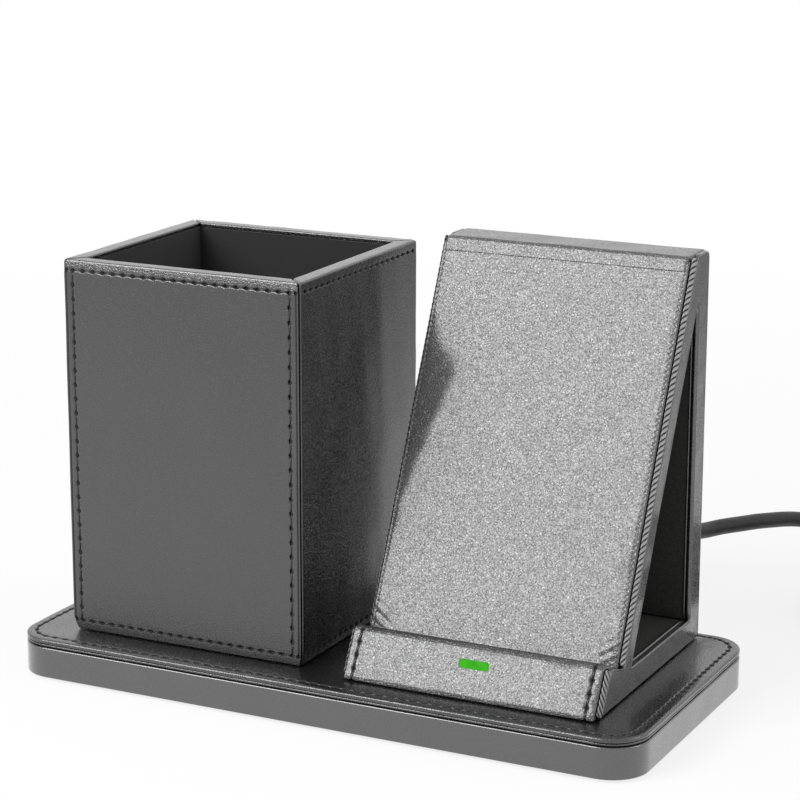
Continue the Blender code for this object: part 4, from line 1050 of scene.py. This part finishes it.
def moulding(name, start, along, stations, node, power=2.0, slot="black_plastic"):
    """Rings along a direction. A station is (distance, half width, half height)."""
    start, along, stations = np.array(start), unit(np.array(along, float)), np.array(stations)
    aside = np.array([along[1], -along[0], 0]) if abs(along[2]) < 0.9 else np.array([1.0, 0, 0])
    up = np.cross(aside, along)
    distance, wide, high = stations.T[:, :, None, None]
    outline = superellipse(power)
    rings = start + distance * along + wide * outline[:, :1] * aside + high * outline[:, 1:] * up
    return loft(name, rings, slot=slot, replaces=[node])


def ribbed(length, first, last, ribs=4):
    """Stations of a strain relief: a taper from the first radius to the last, with grooves. Its
    ends reach over the 0.3 mm that the solids leave, so no light shows between the pieces."""
    distance = np.linspace(0, length, 8 * ribs + 1)
    wave = np.cos(distance / length * ribs * 2 * math.pi)
    radius = (first + (last - first) * distance / length
              - 0.34 * smoothstep(-wave * 1.6) - 0.25 * (distance > length - 0.2))
    distance = np.concatenate([[-0.29], distance, [length + 0.29]])
    radius = np.concatenate([[first - 0.1], radius, [radius[-1] - 0.05]])
    return np.stack([distance, radius, radius], axis=1)


def grip(length, wide, high, ridges=5):
    """Stations of a plug body: rounded ends and a few low ridges across its middle."""
    middle = np.linspace(0.30, 0.66, 6 * ridges + 1)
    rise = 1 + 0.035 * (np.cos((middle - 0.30) / 0.36 * ridges * 2 * math.pi) - 1)
    rows = [(0, 0.86), (0.25, 0.94), (0.9, 1.0), *zip(middle * length, rise),
            (length - 1.4, 1.0), (length - 0.4, 0.95), (length, 0.84)]
    return [(d, wide / 2 - (1 - s) * high, high / 2 * s) for d, s in rows]


# %% The feet and the plugs
for name in ("foot_front_left", "foot_front_right", "foot_back_left", "foot_back_right"):
    low, high = box(name)
    moulding(name + "_pad", ((low.x + high.x) / 2, (low.y + high.y) / 2, low.z), (0, 0, 1),
             [(0.0, 3.6, 3.6), (0.0, 5.2, 5.2), (0.1, 5.6, 5.6), (0.35, 5.9, 5.9), (1.0, 6.0, 6.0)],
             name, slot="rubber")
low, high = box("stand_plug_body")
plug_x, plug_z = (low.x + high.x) / 2, (low.z + high.z) / 2
stand_plug = moulding("stand_plug_grip", (plug_x, low.y, plug_z), (0, 1, 0),
                      grip(17.0, 12.0, 6.6), "stand_plug_body", 3.4)
stand_relief = moulding("stand_plug_sleeve", (plug_x, box("stand_plug_relief")[0].y, plug_z),
                        (0, 1, 0), ribbed(9.0, 3.1, 2.7), "stand_plug_relief")
far_start = tail_end + end_way * TOUCHING
far_relief = moulding("far_plug_sleeve", far_start, end_way, ribbed(9.0, 2.7, 3.1),
                      "far_plug_relief")
far_plug = moulding("far_plug_grip", far_start + end_way * (9.0 + TOUCHING), end_way,
                    grip(26.0, 15.6, 8.0, 7), "far_plug_body", 3.4)

# %% [markdown]
# ## The cable
#
# A curve with a round bevel is the plainest cord: Blender carries the circle along the line
# and keeps it square to it. Its points are the line from the start of this lesson, and each
# point's two handles lie a third of the way to its neighbours, along the line's direction. The
# coil is held by a strap of hook-and-loop tape, whose nap is coarse enough to scatter light.

# %% The cable
cord_curve = bpy.data.curves.new("charging_cable", "CURVE")
cord_curve.dimensions = "3D"
cord_curve.bevel_depth = CORD_THICK / 2 * MM
cord_curve.bevel_resolution = 5
cord_curve.resolution_u = 3
cord_curve.use_fill_caps = True
spline = cord_curve.splines.new("BEZIER")
spline.bezier_points.add(len(cord_line) - 1)
slope = np.gradient(cord_line, cord_reach, axis=0)
gaps = np.diff(cord_reach)[:, None] / 3
before, after = np.concatenate([gaps[:1], gaps]), np.concatenate([gaps, gaps[-1:]])
for name, points in (("co", cord_line), ("handle_left", cord_line - slope * before),
                     ("handle_right", cord_line + slope * after)):
    spline.bezier_points.foreach_set(name, (points * MM).ravel())
cord_curve.materials.append(FINISHES["cord_jacket"])
cable = placed("charging_cable", cord_curve)
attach(cable, "root")
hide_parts("cable_run", "cable_coil")

# %% The cable's tie
tape = speckled("hook_and_loop_tape", "#0f0f10", "#27272a", 0.5, 0.9, 0.15, Sheen_Weight=0.3)
TIE_TURN, TIE_WIDE, TIE_HIGH = math.radians(205), 11, 10.9
inner_reach = COIL_RADIUS - COIL_PITCH * COIL_TURN / 720 - CORD_THICK / 2
outer_reach = COIL_RADIUS + CORD_THICK / 2
outline = superellipse(5.0, 60)
radial = np.array([math.cos(TIE_TURN), math.sin(TIE_TURN), 0])
across = np.array([-radial[1], radial[0], 0])
tie_rings = []
for offset, thick in ((-0.5, 0.0), (-0.5, 0.5), (-0.47, 0.8), (0.47, 0.8), (0.5, 0.5), (0.5, 0.0)):
    high, low = TIE_HIGH + thick, 0.06 * (1 - thick)
    r = (outer_reach + inner_reach) / 2 + outline[:, :1] * (
        (outer_reach - inner_reach) / 2 + 0.25 + thick)
    z = (high + low) / 2 + outline[:, 1:] * (high - low) / 2
    tie_rings.append(np.array([*COIL_CENTRE, 0]) + r * radial + offset * TIE_WIDE * across
                     + z * np.array([0, 0, 1]))
tie = loft("cable_tie", np.array(tie_rings), tape, closed=True, slot="lining_cloth")

# %% [markdown]
# ## Floor and light
#
# The picture is a product shot on white. The floor is white card, which glows a little for the camera so
# that it reads as white, while what is left of its own colour still takes the shadow; further off it is
# all glow, so no edge shows. The world does the same. Leather this dark shows little but reflections.
# What it mirrors of the floor is painted light and shade: the floor's glow, as gloss sees it, is made
# uneven, as in a studio lit from the front, brightest a hand's width before the object, and darker
# behind it. One large soft box at the front left gives the lip its broad highlight, and a weaker one at
# the right lights the side faces.

# %% The floor
FLOOR_HALF = 4.0                    # m


def seen(tree):
    """1 for rays from the camera and for what gloss and glass show, else 0, and the rays' kinds."""
    rays = add(tree, "LightPath")
    camera_or_gloss = add(tree, "Math", {0: rays.outputs["Is Camera Ray"],
                                         1: rays.outputs["Is Glossy Ray"]}, operation="MAXIMUM")
    return add(tree, "Math", {0: camera_or_gloss, 1: rays.outputs["Is Transmission Ray"]},
               operation="MAXIMUM"), rays


floor_mesh = bpy.data.meshes.new("white_card_floor")
floor_mesh.from_pydata([(x * FLOOR_HALF, y * FLOOR_HALF, 0)
                        for x, y in ((-1, -1), (1, -1), (1, 1), (-1, 1))], [], [(0, 1, 2, 3)])
floor = placed("white_card_floor", floor_mesh)
white_card, tree, shader, place = new_material("white_card")
wire(tree, shader, {"Base Color": linear("#f2f2f2"), "Roughness": 0.9, "Specular IOR Level": 0.0})
depth = add(tree, "SeparateXYZ", {0: place}).outputs["Y"]
uneven = 0.0
# Over a stretch of depth in m, the glow that gloss sees changes as painted light and shade: up in front,
# down behind, down at the foot.
for start, end, before, after in (
        (-0.55, -0.2, 0.05, 0.5), (-0.05, 0.58, 0.0, -0.85), (-0.16, -0.08, 0.0, -0.25)):
    part = add(tree, "MapRange", {"Value": depth, "From Min": start, "From Max": end,
                                  "To Min": before, "To Max": after})
    uneven = add(tree, "Math", {0: part, 1: uneven}, operation="ADD")
shown, rays = seen(tree)
level = add(tree, "Math", {0: rays.outputs["Is Glossy Ray"], 1: uneven, 2: 1.0},
            operation="MULTIPLY_ADD")
glow = add(tree, "Emission", {"Color": linear("#ffffff"), "Strength": level})
away = add(tree, "VectorMath", {0: place}, operation="LENGTH")
part = add(tree, "MapRange", {"Value": away, "From Min": 0.15, "From Max": 0.7,
                              "To Min": 0.82, "To Max": 1.0})
share = add(tree, "Math", {0: shown, 1: part}, operation="MULTIPLY")
both = add(tree, "MixShader", {0: share, 1: shader, 2: glow})
wire(tree, tree.nodes["Material Output"], {"Surface": both})
floor_mesh.materials.append(white_card)

# %% The world and the lamps
OBJECT_MIDDLE = Vector((0, 0, 0.06))
world = bpy.data.worlds.new("white_studio")
bpy.context.scene.world = world
world.use_nodes = True
tree = world.node_tree
level = add(tree, "MapRange", {"Value": seen(tree)[0], "To Min": 0.45, "To Max": 1.0})
wire(tree, tree.nodes["Background"], {"Color": linear("#ffffff"), "Strength": level})


def soft_box(name, direction, away, wide, high, watts):
    """An area lamp that far from the object in a direction, facing it, in metres."""
    lamp_data = bpy.data.lights.new(name, "AREA")
    lamp_data.shape = "RECTANGLE"
    lamp_data.size, lamp_data.size_y = wide, high
    lamp_data.energy = watts
    lamp = placed(name, lamp_data)
    lamp.location = OBJECT_MIDDLE + Vector(direction).normalized() * away
    lamp.rotation_euler = (OBJECT_MIDDLE - lamp.location).to_track_quat("-Z", "Y").to_euler()


soft_box("key_soft_box", (-0.425, -0.698, 0.576), 1.6, 0.9, 0.9, 26)
soft_box("right_soft_box", (0.95, 0.15, 0.45), 1.8, 0.8, 1.2, 8)
bpy.context.scene.view_settings.view_transform = "Standard"
